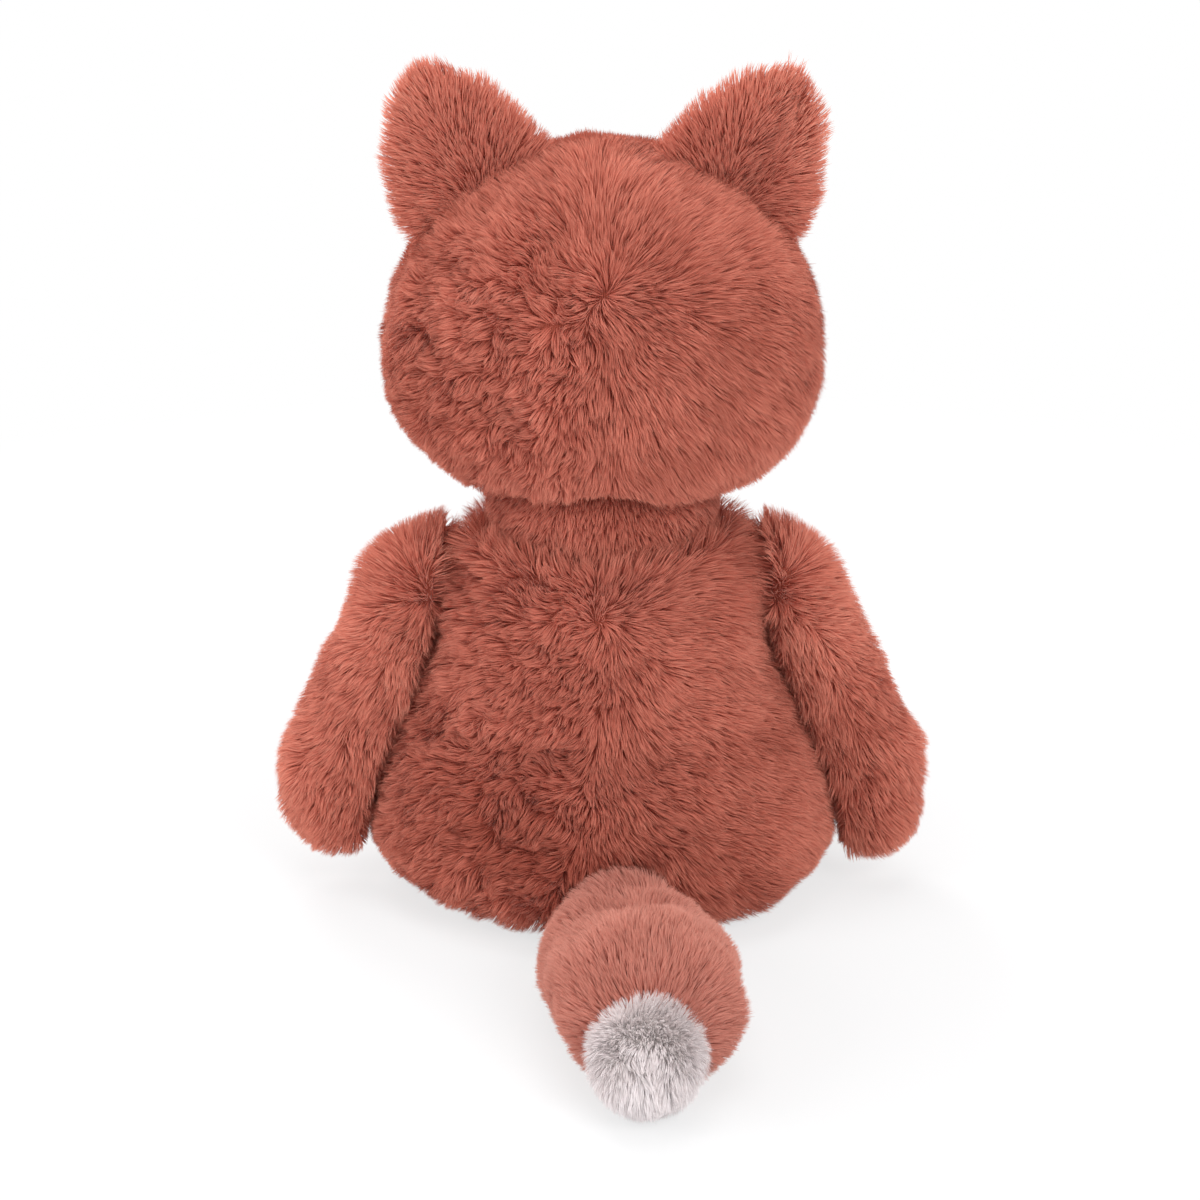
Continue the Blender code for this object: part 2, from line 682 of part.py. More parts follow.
def make_leg(side, sign):
    """A leg's fur, its filling and the pad in its sole."""
    hip = Vector((sign * HIP_X, HIP_Y, HIP_Z))
    turn = Euler((math.pi / 2, 0.0, sign * LEG_SPLAY))

    def sole_bar(name, margin):
        reach = LEG_LENGTH - SOLE_THICK + LEG_RADIUS / 2 - margin
        center = Vector((0.0, LEG_RADIUS * SOLE_RISE_SHARE, reach))
        center.rotate(turn)
        size = (SOLE_WIDTH + 2 * margin, SOLE_HEIGHT + 2 * margin, LEG_RADIUS)
        return oval_bar(name, size, hip + center, turn)

    root = Vector((0.0, 0.0, -LEG_RADIUS))
    root.rotate(turn)
    inner = core_rings(LEG_RING_SHARES)
    fur = leg_form("leg_" + side, RUST_FUR, sign, 0.0)
    cut(fur, leg_form("leg_cavity_" + side, None, sign, -LIMB_SKIN, 0.0, inner, CORE_SIDES))
    cut(fur, stuffing_hole("leg_hole_" + side, hip + root, turn))
    cut(fur, sole_bar("sole_room_" + side, GAP), FLOOR)
    pad = leg_form("sole_pad_" + side, SHORT_PILE, sign, 0.0)
    keep_inside(pad, sole_bar("sole_outline_" + side, 0.0))
    inset = -LIMB_SKIN - FILLING_GAP
    filling = leg_form("leg_filling_" + side, FILLING, sign, inset, 0.0, inner, CORE_SIDES)
    return [fur, pad, filling]


def tail_form(name, material, margin, swing=0.0, rings=TAIL_RING_SHARES, sides=LIMB_SIDES):
    return soft_form(name, material, rings, widened(TAIL_SIZE, margin), -TAIL_ROOT_RADIUS - margin,
                     (TAIL_X, TAIL_Y, TAIL_Z), (-math.pi / 2, 0.0, TAIL_TURN + swing),
                     reach=(0.0, -TAIL_RADIUS), sides=sides)


def make_tail():
    """The rust fur of the tail, its filling and the white tip."""
    root = Vector((TAIL_X, TAIL_Y, TAIL_Z))
    turn = Euler((-math.pi / 2, 0.0, TAIL_TURN))
    back = Vector((0.0, 0.0, -TAIL_ROOT_RADIUS))
    back.rotate(turn)
    seam = Vector((0.0, TAIL_Z - TIP_Z, TAIL_LENGTH - TAIL_ROOT_RADIUS - TIP_SUNK))
    seam.rotate(turn)
    inner = core_rings(TAIL_RING_SHARES)
    fur = tail_form("tail_fur", RUST_FUR, 0.0)
    cut(fur, tail_form("tail_cavity", None, -LIMB_SKIN, 0.0, inner, CORE_SIDES))
    cut(fur, stuffing_hole("tail_hole", root + back, turn), FLOOR)
    inset = -LIMB_SKIN - FILLING_GAP
    filling = tail_form("tail_filling", FILLING, inset, 0.0, inner, CORE_SIDES)
    tip_size = (2 * TIP_RADIUS, 2 * TIP_RADIUS, TIP_LENGTH)
    tip = soft_form("tail_tip", CREAM_FUR, TIP_RING_SHARES, tip_size, 0.0, root + seam, turn)
    cut(tip, tail_form("tail_outline", None, GAP), FLOOR)
    return [fur, filling, tip]


def make_sockets():
    """Cutters for the round roots of the neck, the legs and the tail."""
    tools = [ball("neck_socket", None, NECK_RADIUS + NECK_GAP, (0.0, 0.0, NECK_Z), sides=NECK_SIDES)]
    for side, sign in SIDES:
        turn = (math.pi / 2, 0.0, sign * LEG_SPLAY)
        hip = (sign * HIP_X, HIP_Y, HIP_Z)
        tools.append(ball("hip_socket_" + side, None, LEG_RADIUS + JOINT_GAP, hip, turn))
    root = (TAIL_X, TAIL_Y, TAIL_Z)
    turn = (-math.pi / 2, 0.0, TAIL_TURN)
    tools.append(ball("tail_socket", None, TAIL_ROOT_RADIUS + JOINT_GAP, root, turn))
    return tools


def leg_sweep(side, sign):
    """The flat middle of a leg, swept about the hip from where it is raised to where it is lowered."""
    form = bmesh.new()
    edge = [(LEG_RADIUS / 5, LEG_RADIUS + GAP)]
    for share, across, *_ in LEG_RING_SHARES:
        along = LEG_SIZE[2] * share - LEG_RADIUS
        if along > edge[-1][0]:
            edge.append((along, LEG_RADIUS * across + GAP))
    outline = [(half, along) for along, half in edge] + [(-half, along) for along, half in reversed(edge)]
    turn = Euler((LEG_RAISED, 0.0, 0.0))
    corners = [Vector((across, 0.0, along)) for across, along in outline]
    for corner in corners:
        corner.rotate(turn)
    face = form.faces.new([form.verts.new(corner) for corner in corners])
    bmesh.ops.spin(form, geom=[face], axis=(1.0, 0.0, 0.0), cent=(0.0, 0.0, 0.0),
                   angle=LEG_LOWERED - LEG_RAISED, steps=SWING_STEPS)
    bmesh.ops.recalc_face_normals(form, faces=form.faces)
    mesh = bpy.data.meshes.new("leg_sweep_" + side)
    form.to_mesh(mesh)
    form.free()
    sweep = bpy.data.objects.new("leg_sweep_" + side, mesh)
    return place(sweep, None, (sign * HIP_X, HIP_Y, HIP_Z), (math.pi / 2, 0.0, sign * LEG_SPLAY))


def make_paths():
    """Cutters with the legs' and the tail's own forms, at the middle and the ends of their swing."""
    tools = []
    for side, sign in SIDES:
        tools.append(leg_sweep(side, sign))
        for way, lowered in (("raised", LEG_RAISED), ("rest", 0.0), ("lowered", LEG_LOWERED)):
            tools.append(leg_form("leg_path_" + side + "_" + way, None, sign, GAP, lowered))
    for way, swing in (("left", -TAIL_SWING), ("rest", 0.0), ("right", TAIL_SWING)):
        tools.append(tail_form("tail_path_" + way, None, GAP, swing))
    return tools


def hang_on(name, location, pieces, carrier=None):
    """Parents the pieces to an empty on their joint's axis, which its carrier takes along."""
    joint = bpy.data.objects.new(name, None)
    joint.location = location
    PARTS.objects.link(joint)
    bpy.context.view_layer.update()
    for piece in pieces:
        piece.parent = joint
        piece.matrix_parent_inverse = joint.matrix_world.inverted()
    if carrier:
        joint.parent = carrier
        joint.matrix_parent_inverse = carrier.matrix_world.inverted()
    return joint


SOCKETS = make_sockets()
PATHS = make_paths()
EAR_SOCKETS = [ear_socket(side, sign) for side, sign in SIDES]

make_body()
neck_joint = hang_on("neck_joint", (0.0, 0.0, NECK_Z), make_neck())
head_joint = hang_on("head_joint", (0.0, 0.0, NECK_Z), make_head(), neck_joint)
for side, sign in SIDES:
    hinge = (sign * EAR_X, EAR_Y, EAR_Z)
    hang_on("ear_joint_" + side, hinge, make_ear(side, sign), head_joint)
    hang_on("arm_joint_" + side, (sign * SHOULDER_X, ARM_Y, SHOULDER_Z), make_arm(side, sign))
    hang_on("leg_joint_" + side, (sign * HIP_X, HIP_Y, HIP_Z), make_leg(side, sign))
hang_on("tail_joint", (TAIL_X, TAIL_Y, TAIL_Z), make_tail())
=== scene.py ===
"""The looks of a sitting plush fox: its skins, its pile, its face, the floor, the lights and the camera.

Each solid of fur gives way to a stuffed skin that lies under the pile. The pile is made strand by
strand, as tapered blades that grow from the skin, lean the way the fur lies and gather in tufts.
A blade's OFBake map holds its tone across and its height along, and the pile's colours read both.
Metres, in the frame of the solids: the fox looks along -Y, and its left side is +X.
"""

import json
import math

import bpy
import numpy as np
from mathutils import Euler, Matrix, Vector
from mathutils.kdtree import KDTree


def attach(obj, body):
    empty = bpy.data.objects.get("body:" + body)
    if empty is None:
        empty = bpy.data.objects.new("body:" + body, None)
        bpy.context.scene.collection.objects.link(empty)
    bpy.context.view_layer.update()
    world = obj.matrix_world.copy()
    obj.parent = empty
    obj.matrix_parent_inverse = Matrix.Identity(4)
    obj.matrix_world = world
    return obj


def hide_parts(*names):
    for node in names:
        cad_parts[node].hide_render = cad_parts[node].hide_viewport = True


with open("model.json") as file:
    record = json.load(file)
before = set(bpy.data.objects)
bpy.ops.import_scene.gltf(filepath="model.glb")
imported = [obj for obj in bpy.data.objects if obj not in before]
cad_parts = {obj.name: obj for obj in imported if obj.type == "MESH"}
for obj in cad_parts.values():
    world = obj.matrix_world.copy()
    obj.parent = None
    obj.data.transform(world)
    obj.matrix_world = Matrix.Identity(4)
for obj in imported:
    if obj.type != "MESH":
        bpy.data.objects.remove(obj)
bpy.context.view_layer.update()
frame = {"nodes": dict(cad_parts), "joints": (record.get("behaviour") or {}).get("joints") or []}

# Camera and picture
PICTURE_WIDTH = 0.420
CAMERA_AIM = (0.001, 0.0, 0.106)
CAMERA_DISTANCE = 1.300
CAMERA_ELEVATION = math.radians(20.0)
SENSOR_WIDTH = 36.0

# Sizes of the stuffed forms, as in the solids
BODY_SIZE = (0.168, 0.142, 0.1605)
BODY_START = -0.0005
HEAD_SIZE = (0.151, 0.128, 0.1345)
HEAD_BASE_Z = 0.1365
ARM_SIZE = (0.041, 0.042, 0.132)
ARM_BASE_Z = 0.009
ARM_REACH = 0.046
ARM_GAP = 0.0014
LEG_RADIUS = 0.026
LEG_LENGTH = 0.100
LEG_SPLAY = math.radians(8.0)
TAIL_ROOT_RADIUS = 0.019
TAIL_RADIUS = 0.0315
TAIL_LENGTH = 0.129
TAIL_TURN = math.radians(6.0)
TIP_RADIUS = 0.020
TIP_LENGTH = 0.036
TIP_SUNK = 0.013
TIP_Z = 0.020
EAR_SIZE = (0.060, 0.020, 0.062)
EAR_LEANS = {"left": math.radians(25.0), "right": math.radians(29.0)}
EAR_TIP_CURL = 0.004
NECK_RADIUS = 0.044
MUZZLE_SIZE = (0.060, 0.044, 0.049)
MUZZLE_BACK_Y = -0.038
MUZZLE_Z = 0.172
TUMMY_WIDTH = 0.092
TUMMY_HEIGHT = 0.104
TUMMY_Z = 0.076
CHEEK_X = 0.046
CHEEK_Z = 0.168
CHEEK_WIDTH = 0.060
CHEEK_HEIGHT = 0.046
CHEEK_BACK_Y = -0.020
LINING_WIDTH = 0.034
LINING_HEIGHT = 0.036
LINING_Z = 0.026
SOLE_WIDTH = 0.032
SOLE_HEIGHT = 0.040
SOLE_RISE = 0.0065
EYE_RADIUS = 0.0070
EYE_HEIGHT = 0.0062
EYE_X = 0.032
EYE_Y = -0.0545
EYE_Z = 0.203
EYE_TURN = math.radians(22.0)
NOSE_RADIUS = 0.0085
NOSE_HEIGHT = 0.0075
NOSE_SUNK = 0.0030
NOSE_RISE = 0.004
NOSE_Y = MUZZLE_BACK_Y - MUZZLE_SIZE[2] + NOSE_SUNK
NOSE_Z = MUZZLE_Z + NOSE_RISE
NOSE_SQUEEZE = 0.26

# How far a skin lies under the outer face of its solid, where the pile ends
BODY_INSET = 0.0056
LIMB_INSET = 0.0052
EAR_INSET = 0.0042
TAIL_INSET = 0.0046
TIP_INSET = 0.0054
MUZZLE_INSET = 0.0030
NECK_INSET = 0.0060

# Pile: its length, the width of a blade, and blades to a square metre
LONG_PILE = 0.0084
LIMB_PILE = 0.0080
TAIL_PILE_LENGTH = 0.0070
TIP_PILE_LENGTH = 0.0070
EAR_PILE = 0.0068
TUMMY_PILE = 0.0085
NECK_PILE = 0.0046
MUZZLE_PILE = 0.0048
INNER_ARM_PILE = 0.0054
LEG_ROOT_PILE = 0.0042
SOLE_PILE = 0.0062
SHORT_PILE = 0.0030
BLADE_WIDTH = 0.00032
SHORT_BLADE_WIDTH = 0.0003
BLADE_DENSITY = 2.8e6
FINE_TUFT = 0.0016
COARSE_TUFT = 0.0048
MOST_BLADES = 39000
PILE_THINNESS = 0.20

# Clearances
FLOOR_CLEARANCE = 0.0008
LEG_CLEARANCE = 0.0030
TAIL_CLEARANCE = 0.0025
STUFFING_GAP = 0.0015

SKIN_RINGS = 48
SKIN_SIDES = 64
BLADE_STEPS = 3

BODY_RINGS = (
    (0.0, 0.0, 0.0),
    (0.0, 0.52, 0.52),
    (0.03, 0.86, 0.86),
    (0.11, 1.0, 1.0),
    (0.23, 0.965, 0.98),
    (0.38, 0.85, 0.91),
    (0.55, 0.715, 0.8),
    (0.72, 0.615, 0.7),
    (0.87, 0.53, 0.6),
    (0.96, 0.39, 0.43),
    (1.0, 0.0, 0.0),
)
HEAD_RINGS = (
    (0.0, 0.0, 0.0),
    (0.045, 0.42, 0.44),
    (0.15, 0.76, 0.76),
    (0.3, 0.965, 0.94),
    (0.48, 1.0, 1.0),
    (0.66, 0.925, 0.96),
    (0.82, 0.74, 0.79),
    (0.945, 0.42, 0.46),
    (1.0, 0.0, 0.0),
)
ARM_RINGS = (
    (0.0, 0.0, 0.0, 1.0),
    (0.03, 0.5, 0.5, 1.0),
    (0.12, 0.82, 0.82, 1.0),
    (0.28, 0.99, 0.98, 0.96),
    (0.46, 1.0, 1.0, 0.77),
    (0.64, 0.99, 1.0, 0.54),
    (0.82, 0.93, 0.95, 0.29),
    (0.94, 0.62, 0.68, 0.11),
    (1.0, 0.0, 0.0, 0.0),
)
LEG_RINGS = (
    (0.0, 0.0, 0.0, 0.0),
    (0.05, 0.61, 0.61, 0.0),
    (0.14, 0.91, 0.91, 0.0),
    (0.34, 1.0, 1.0, 0.0),
    (0.58, 0.97, 0.98, 0.0),
    (0.76, 1.04, 1.13, 0.17),
    (0.92, 1.06, 1.25, 0.29),
    (1.0, 0.76, 0.9, 0.25),
    (1.0, 0.0, 0.0, 0.25),
)
TAIL_RINGS = (
    (0.0, 0.0, 0.0, 0.0),
    (0.05, 0.45, 0.45, 0.0),
    (0.105, 0.58, 0.58, 0.0),
    (0.17, 0.69, 0.61, -0.01),
    (0.44, 0.92, 0.68, 0.05),
    (0.72, 1.0, 0.79, 0.13),
    (0.9, 0.85, 0.68, 0.06),
    (1.0, 0.47, 0.4, -0.03),
    (1.0, 0.0, 0.0, -0.03),
)
TIP_RINGS = (
    (0.0, 0.0, 0.0),
    (0.0, 0.55, 0.55),
    (0.1, 0.96, 0.96),
    (0.48, 0.99, 0.99),
    (0.85, 0.62, 0.62),
    (1.0, 0.0, 0.0),
)
EAR_RINGS = (
    (0.0, 0.0, 0.0, 0.0),
    (0.04, 0.78, 0.62, 0.0),
    (0.15, 1.0, 1.0, 0.0),
    (0.42, 0.9, 0.94, 0.0),
    (0.72, 0.66, 0.8, 0.5),
    (0.92, 0.38, 0.58, 1.0),
    (1.0, 0.0, 0.0, 1.0),
)
MUZZLE_RINGS = (
    (0.0, 0.0, 0.0),
    (0.02, 0.8, 0.8),
    (0.35, 1.0, 1.0),
    (0.72, 0.74, 0.78),
    (0.94, 0.38, 0.45),
    (1.0, 0.0, 0.0),
)
BALL_RINGS = tuple(
    (0.5 - 0.5 * math.cos(math.pi * step / 8), math.sin(math.pi * step / 8),
     math.sin(math.pi * step / 8))
    for step in range(9)
)

SIDES = (("left", 1.0), ("right", -1.0))
PIVOTS = {joint["name"]: np.array(joint["pos_m"]) for joint in frame["joints"]}
NECK_Z = PIVOTS["neck_turn"][2]
SHOULDER_Z = PIVOTS["shoulder_left"][2]


def unit(vectors):
    """Vectors made one long."""
    return vectors / np.maximum(np.linalg.norm(vectors, axis=-1, keepdims=True), 1e-9)


def ease(values, low, high):
    """0 below low, 1 above high, smooth between them."""
    share = np.clip((values - low) / (high - low), 0.0, 1.0)
    return share * share * (3 - 2 * share)


def bump(values, middle, width):
    """1 at the middle, falling to 0 on both sides of it."""
    return np.exp(-((values - middle) / width) ** 2)


def waves(points, size, seed):
    """A smooth random field, mostly between -1 and 1, whose lumps are about so big."""
    rng = np.random.default_rng(seed)
    count = 12
    ways = unit(rng.normal(size=(count, 3))) * 2 * math.pi / size * rng.uniform(0.6, 1.5, (count, 1))
    phases = rng.uniform(0, 2 * math.pi, count)
    return np.sin(points @ ways.T + phases).sum(axis=1) / math.sqrt(count)


class Form:
    """A closed skin, as points and faces in the frame.

    Each ring is a row of shares: its place along the length, its width, its depth and, in some
    tables, its share of reach, by which its middle moves sideways and back. The length runs along
    the form's own Z axis from start. The form is then turned, and moved to the location.
    """

    def __init__(self, rings, size, start, location, rotation=(0.0, 0.0, 0.0), inset=0.0,
                 reach=(0.0, 0.0)):
        width, depth, length = (value - 2 * inset for value in size)
        table = self.spread(rings)
        angles = np.arange(SKIN_SIDES) * 2 * math.pi / SKIN_SIDES
        along = (start + inset + length * table[:, 0])[:, None] + 0 * angles
        across = width / 2 * table[:, 1, None] * np.cos(angles) + reach[0] * table[:, 3, None]
        through = depth / 2 * table[:, 2, None] * np.sin(angles) + reach[1] * table[:, 3, None]
        rows = np.stack([across, through, along], axis=-1)
        points = np.vstack([rows[0, :1], rows[1:-1].reshape(-1, 3), rows[-1, :1]])
        self.turn = np.array(Euler(rotation).to_matrix())
        self.place = np.array(location)
        self.points = points @ self.turn.T + self.place
        self.faces = self.grid_faces(len(table) - 2)
        self.triangles = np.array([
            corner for face in self.faces
            for corner in ((face[0], face[1], face[2]), (face[0], face[2], face[-1]))
            if len(face) == 4 or corner[1] != face[2]
        ])

    @staticmethod
    def spread(rings):
        """A table's rings and more between them, on a smooth curve that closes square to the axis."""
        table = np.zeros((len(rings), 4))
        table[:, :len(rings[0])] = rings
        first = table[1] * (1, -1, -1, 1)
        last = table[-2] * (1, -1, -1, 1)
        knots = np.vstack([first, table, last])
        steps = np.linspace(0, len(table) - 1, SKIN_RINGS + 1)
        index = np.minimum(steps.astype(int), len(table) - 2)
        share = (steps - index)[:, None]
        before, low, high, after = (knots[index + step] for step in range(4))
        bend = 2 * before - 5 * low + 4 * high - after
        twist = 3 * low - before - 3 * high + after
        return low + share / 2 * (high - before + share * (bend + share * twist))

    @staticmethod
    def grid_faces(rows):
        """Faces of a grid of rings that is closed by a point at each end."""
        def corner(row, side):
            return 1 + row * SKIN_SIDES + side % SKIN_SIDES

        top = 1 + rows * SKIN_SIDES
        faces = []
        for side in range(SKIN_SIDES):
            faces.append((0, corner(0, side + 1), corner(0, side)))
            faces.append((top, corner(rows - 1, side), corner(rows - 1, side + 1)))
            for row in range(rows - 1):
                faces.append((corner(row, side), corner(row, side + 1),
                              corner(row + 1, side + 1), corner(row + 1, side)))
        return faces

    def local(self, points):
        """Points in the form's own axes."""
        return (points - self.place) @ self.turn

    def normals(self):
        """Outward normals at the points."""
        first, second, third = (self.points[self.triangles[:, index]] for index in range(3))
        flat = np.cross(second - first, third - first)
        total = np.zeros_like(self.points)
        for index in range(3):
            np.add.at(total, self.triangles[:, index], flat)
        return unit(total)

    def push(self, amounts):
        """Moves the points along their normals."""
        self.points = self.points + self.normals() * amounts[:, None]

    def lift(self, height):
        """Lifts the points that lie under a height up to it."""
        self.points[:, 2] = np.maximum(self.points[:, 2], height)

    def dent(self, centre, axis, radius):
        """Pushes the points that lie in a round socket, or in front of it, to its back."""
        axis = unit(np.array(axis))
        offset = self.points - centre
        along = offset @ axis
        side = offset - along[:, None] * axis
        across = np.linalg.norm(side, axis=1)
        back = np.sqrt(np.maximum(radius ** 2 - across ** 2, 0.0))
        inside = (across < radius) & (along > -back)
        moved = centre + side - back[:, None] * axis
        self.points[inside] = moved[inside]

    def scatter(self, density, rng):
        """Points all over the skin and its normals there."""
        corners = self.points[self.triangles]
        doubled = np.linalg.norm(
            np.cross(corners[:, 1] - corners[:, 0], corners[:, 2] - corners[:, 0]), axis=1)
        areas = doubled / 2
        count = int(areas.sum() * density)
        chosen = np.searchsorted(np.cumsum(areas) / areas.sum(), rng.uniform(size=count))
        chosen = np.minimum(chosen, len(areas) - 1)
        first, second = rng.uniform(size=(2, count))
        folded = first + second > 1
        first[folded], second[folded] = 1 - first[folded], 1 - second[folded]
        shares = np.stack([1 - first - second, first, second], axis=1)[:, :, None]
        normals = self.normals()[self.triangles[chosen]]
        return (corners[chosen] * shares).sum(axis=1), unit((normals * shares).sum(axis=1))


def body_half_width(heights):
    """The body's half width at each height."""
    rings = np.array(BODY_RINGS)[1:-1]
    return np.interp(heights, rings[:, 0] * BODY_SIZE[2], rings[:, 1] * BODY_SIZE[0] / 2)


# Materials

KNIT_HEIGHT = 0.0004
KNIT_SCALE = 420.0
KNIT_DISTORTION = 1.5
PATCH_SCALE = 60.0
GRAIN_SCALE = 220.0
SHEEN_ROUGHNESS = 0.45


def set_inputs(node, values):
    """Sets a node's inputs, named by the keys."""
    for key, value in values.items():
        node.inputs[key].default_value = value


def node_at(tree, kind, values=(), **settings):
    """A new shader node with the values of its inputs, and its settings."""
    node = tree.nodes.new(kind)
    for key, value in settings.items():
        setattr(node, key, value)
    set_inputs(node, dict(values))
    return node


def wire(tree, *links):
    """Links outputs to inputs. Each link is a node, its output, a node and its input.

    A number is given where others have the same name.
    """
    for source, output, target, place in links:
        tree.links.new(source.outputs[output], target.inputs[place])


def color_ramp(tree, stops):
    """A ramp of colours at their places."""
    ramp = node_at(tree, "ShaderNodeValToRGB")
    elements = ramp.color_ramp.elements
    while len(elements) < len(stops):
        elements.new(0.5)
    for element, (place, color) in zip(elements, stops):
        element.position = place
        element.color = (*color, 1.0)
    return ramp


def plain_material(name, roughness, sheen=0.0, sheen_tint=(1.0, 1.0, 1.0), specular=0.5):
    """A material, its tree and its shader."""
    material = bpy.data.materials.new(name)
    material.use_nodes = True
    tree = material.node_tree
    shader = tree.nodes["Principled BSDF"]
    set_inputs(shader, {"Roughness": roughness, "Specular IOR Level": specular, "Sheen Weight": sheen,
                        "Sheen Roughness": SHEEN_ROUGHNESS, "Sheen Tint": (*sheen_tint, 1.0)})
    return material, tree, shader


def pile_material(name, root, middle, end, dark, light, sheen=0.35):
    """Pile whose colour runs from root to end along a blade, and from dark to light with its tone.
    A root darker than the end is painted shade deep in the pile, and a lighter end is painted glow at the
    tips.

    A blade is thin enough for some light to come through it.
    """
    material, tree, shader = plain_material(name, 0.80, sheen, sheen_tint=(1.0, 0.80, 0.72), specular=0.22)
    place = node_at(tree, "ShaderNodeUVMap", uv_map="OFBake")
    split = node_at(tree, "ShaderNodeSeparateXYZ")
    along = color_ramp(tree, ((0.0, root), (0.42, middle), (1.0, end)))
    tone = color_ramp(tree, ((0.0, dark), (0.5, (1.0, 1.0, 1.0)), (1.0, light)))
    both = node_at(tree, "ShaderNodeMix", {"Factor": 1.0}, data_type="RGBA", blend_type="MULTIPLY",
                   clamp_result=False)
    through = node_at(tree, "ShaderNodeBsdfTranslucent")
    blend = node_at(tree, "ShaderNodeMixShader", {"Fac": PILE_THINNESS})
    wire(tree,
         (place, "UV", split, "Vector"),
         (split, "Y", along, "Fac"),
         (split, "X", tone, "Fac"),
         (along, "Color", both, 6),
         (tone, "Color", both, 7),
         (both, 2, shader, "Base Color"),
         (both, 2, through, "Color"),
         (shader, "BSDF", blend, 1),
         (through, "BSDF", blend, 2),
         (blend, "Shader", tree.nodes["Material Output"], "Surface"))
    return material


def backing_material(name, low, high):
    """The knitted backing that the pile grows from."""
    material, tree, shader = plain_material(name, 0.95, sheen=0.1, specular=0.1)
    place = node_at(tree, "ShaderNodeTexCoord")
    knit = node_at(tree, "ShaderNodeTexWave", {"Scale": KNIT_SCALE, "Distortion": KNIT_DISTORTION})
    patches = node_at(tree, "ShaderNodeTexNoise", {"Scale": PATCH_SCALE})
    ramp = color_ramp(tree, ((0.3, low), (0.7, high)))
    relief = node_at(tree, "ShaderNodeBump", {"Distance": KNIT_HEIGHT})
    wire(tree,
         (place, "Object", knit, "Vector"),
         (place, "Object", patches, "Vector"),
         (patches, "Fac", ramp, "Fac"),
         (ramp, "Color", shader, "Base Color"),
         (knit, "Fac", relief, "Height"),
         (relief, "Normal", shader, "Normal"))
    return material


def moulded_material(name, low, high, roughness):
    """Moulded plastic with faint uneven gloss."""
    material, tree, shader = plain_material(name, roughness)
    place = node_at(tree, "ShaderNodeTexCoord")
    grain = node_at(tree, "ShaderNodeTexNoise", {"Scale": GRAIN_SCALE})
    ramp = color_ramp(tree, ((0.35, low), (0.65, high)))
    wire(tree,
         (place, "Object", grain, "Vector"),
         (grain, "Fac", ramp, "Fac"),
         (ramp, "Color", shader, "Base Color"))
    return material


# The rust pile's darker root is painted shade deep in the pile, and its lighter end is painted glow at the
# tips; the tail pile has a little of both.
RUST_PILE = pile_material("rust_pile", (0.66, 0.200, 0.136), (0.70, 0.222, 0.154), (0.80, 0.305, 0.215),
                          (0.66, 0.47, 0.43), (1.16, 1.42, 1.46))
TAIL_PILE = pile_material("tail_pile", (0.68, 0.270, 0.205), (0.69, 0.280, 0.213), (0.72, 0.312, 0.240),
                          (0.80, 0.70, 0.67), (1.06, 1.16, 1.20))
CREAM_PILE = pile_material("cream_pile", (0.97, 0.93, 0.93), (0.96, 0.91, 0.91), (0.94, 0.88, 0.88),
                           (0.93, 0.90, 0.89), (1.02, 1.03, 1.04), 0.2)
SHORT_FUR = pile_material("short_pile", (0.88, 0.73, 0.67), (0.90, 0.77, 0.71), (0.91, 0.79, 0.73),
                          (0.86, 0.82, 0.80), (1.08, 1.10, 1.12), 0.2)
RUST_BACKING = backing_material("rust_backing", (0.34, 0.072, 0.044), (0.42, 0.098, 0.062))
CREAM_BACKING = backing_material("cream_backing", (0.82, 0.76, 0.74), (0.90, 0.85, 0.83))
FIBRE = backing_material("fibre", (0.78, 0.78, 0.76), (0.90, 0.90, 0.88))
BAG_CLOTH = backing_material("bag_cloth", (0.60, 0.57, 0.50), (0.74, 0.71, 0.64))
BLACK_GLOSS = moulded_material("black_gloss", (0.004, 0.003, 0.003), (0.010, 0.008, 0.008), 0.10)
WASHER_PLASTIC = moulded_material("washer_plastic", (0.72, 0.72, 0.70), (0.82, 0.82, 0.80), 0.45)


# Skins and pile

def show(name, mesh, body, slot, *materials):
    """Puts a mesh in the scene and on a body. The slot is not used."""
    piece = bpy.data.objects.new(name, mesh)
    bpy.context.scene.collection.objects.link(piece)
    for material in materials:
        mesh.materials.append(material)
    mesh.shade_smooth()
    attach(piece, body)
    return piece


def make_skin(name, form, body, slot, nodes, materials, pale=None):
    """The stuffed skin under the pile. Its faces where pale is true take the second material."""
    mesh = bpy.data.meshes.new(name)
    mesh.from_pydata(form.points.tolist(), [], form.faces)
    skin = show(name, mesh, body, slot, *materials)
    if pale is not None:
        middles = np.array([form.points[list(face)].mean(axis=0) for face in form.faces])
        mesh.polygons.foreach_set("material_index", pale(middles).astype(np.int32))
    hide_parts(*nodes)
    return skin


# How blades vary. LUMPS are the distances between the lumps of a smooth field, SWAY is the strength
# of that field, and SCATTER the spread from blade to blade. A pair of SCATTER or PULL holds what
# tidy pile has, and what mess adds to it.
LAY_LUMPS = (0.024, 0.009)
LAY_SWAY = (0.9, 0.8)
LAY_SCATTER = (0.10, 0.22)
REACH_LUMPS = 0.016
REACH_SWAY = 0.10
REACH_SCATTER = 0.08
REACH_LOSS = 0.26
LEAN_SCATTER = (0.10, 0.15)
BEND_SCATTER = (0.14, 0.16)
BEND_LOSS = 0.50
LIFT_LUMPS = 0.007
LIFT_SWAY = 0.25
COARSE_PULL = (0.04, 0.48)
FINE_PULL = (0.22, 0.44)
PULL_RANGE = (0.6, 1.2)
PULL_CURVE = 1.3
TWIST_SCATTER = 0.55
TONE_LUMPS = (0.045, 0.012)
TONE_SWAY = (0.07, 0.05)
TUFT_TONE_SCATTER = 0.05
TONE_SCATTER = 0.08
WIDTH_RANGE = (0.75, 1.25)
BLADE_TAPERS = (1.0, 0.92, 0.62)
TONE_MAP_REACH = 0.004


def with_mess(pair, mess):
    """A number that grows with the mess."""
    return pair[0] + pair[1] * mess


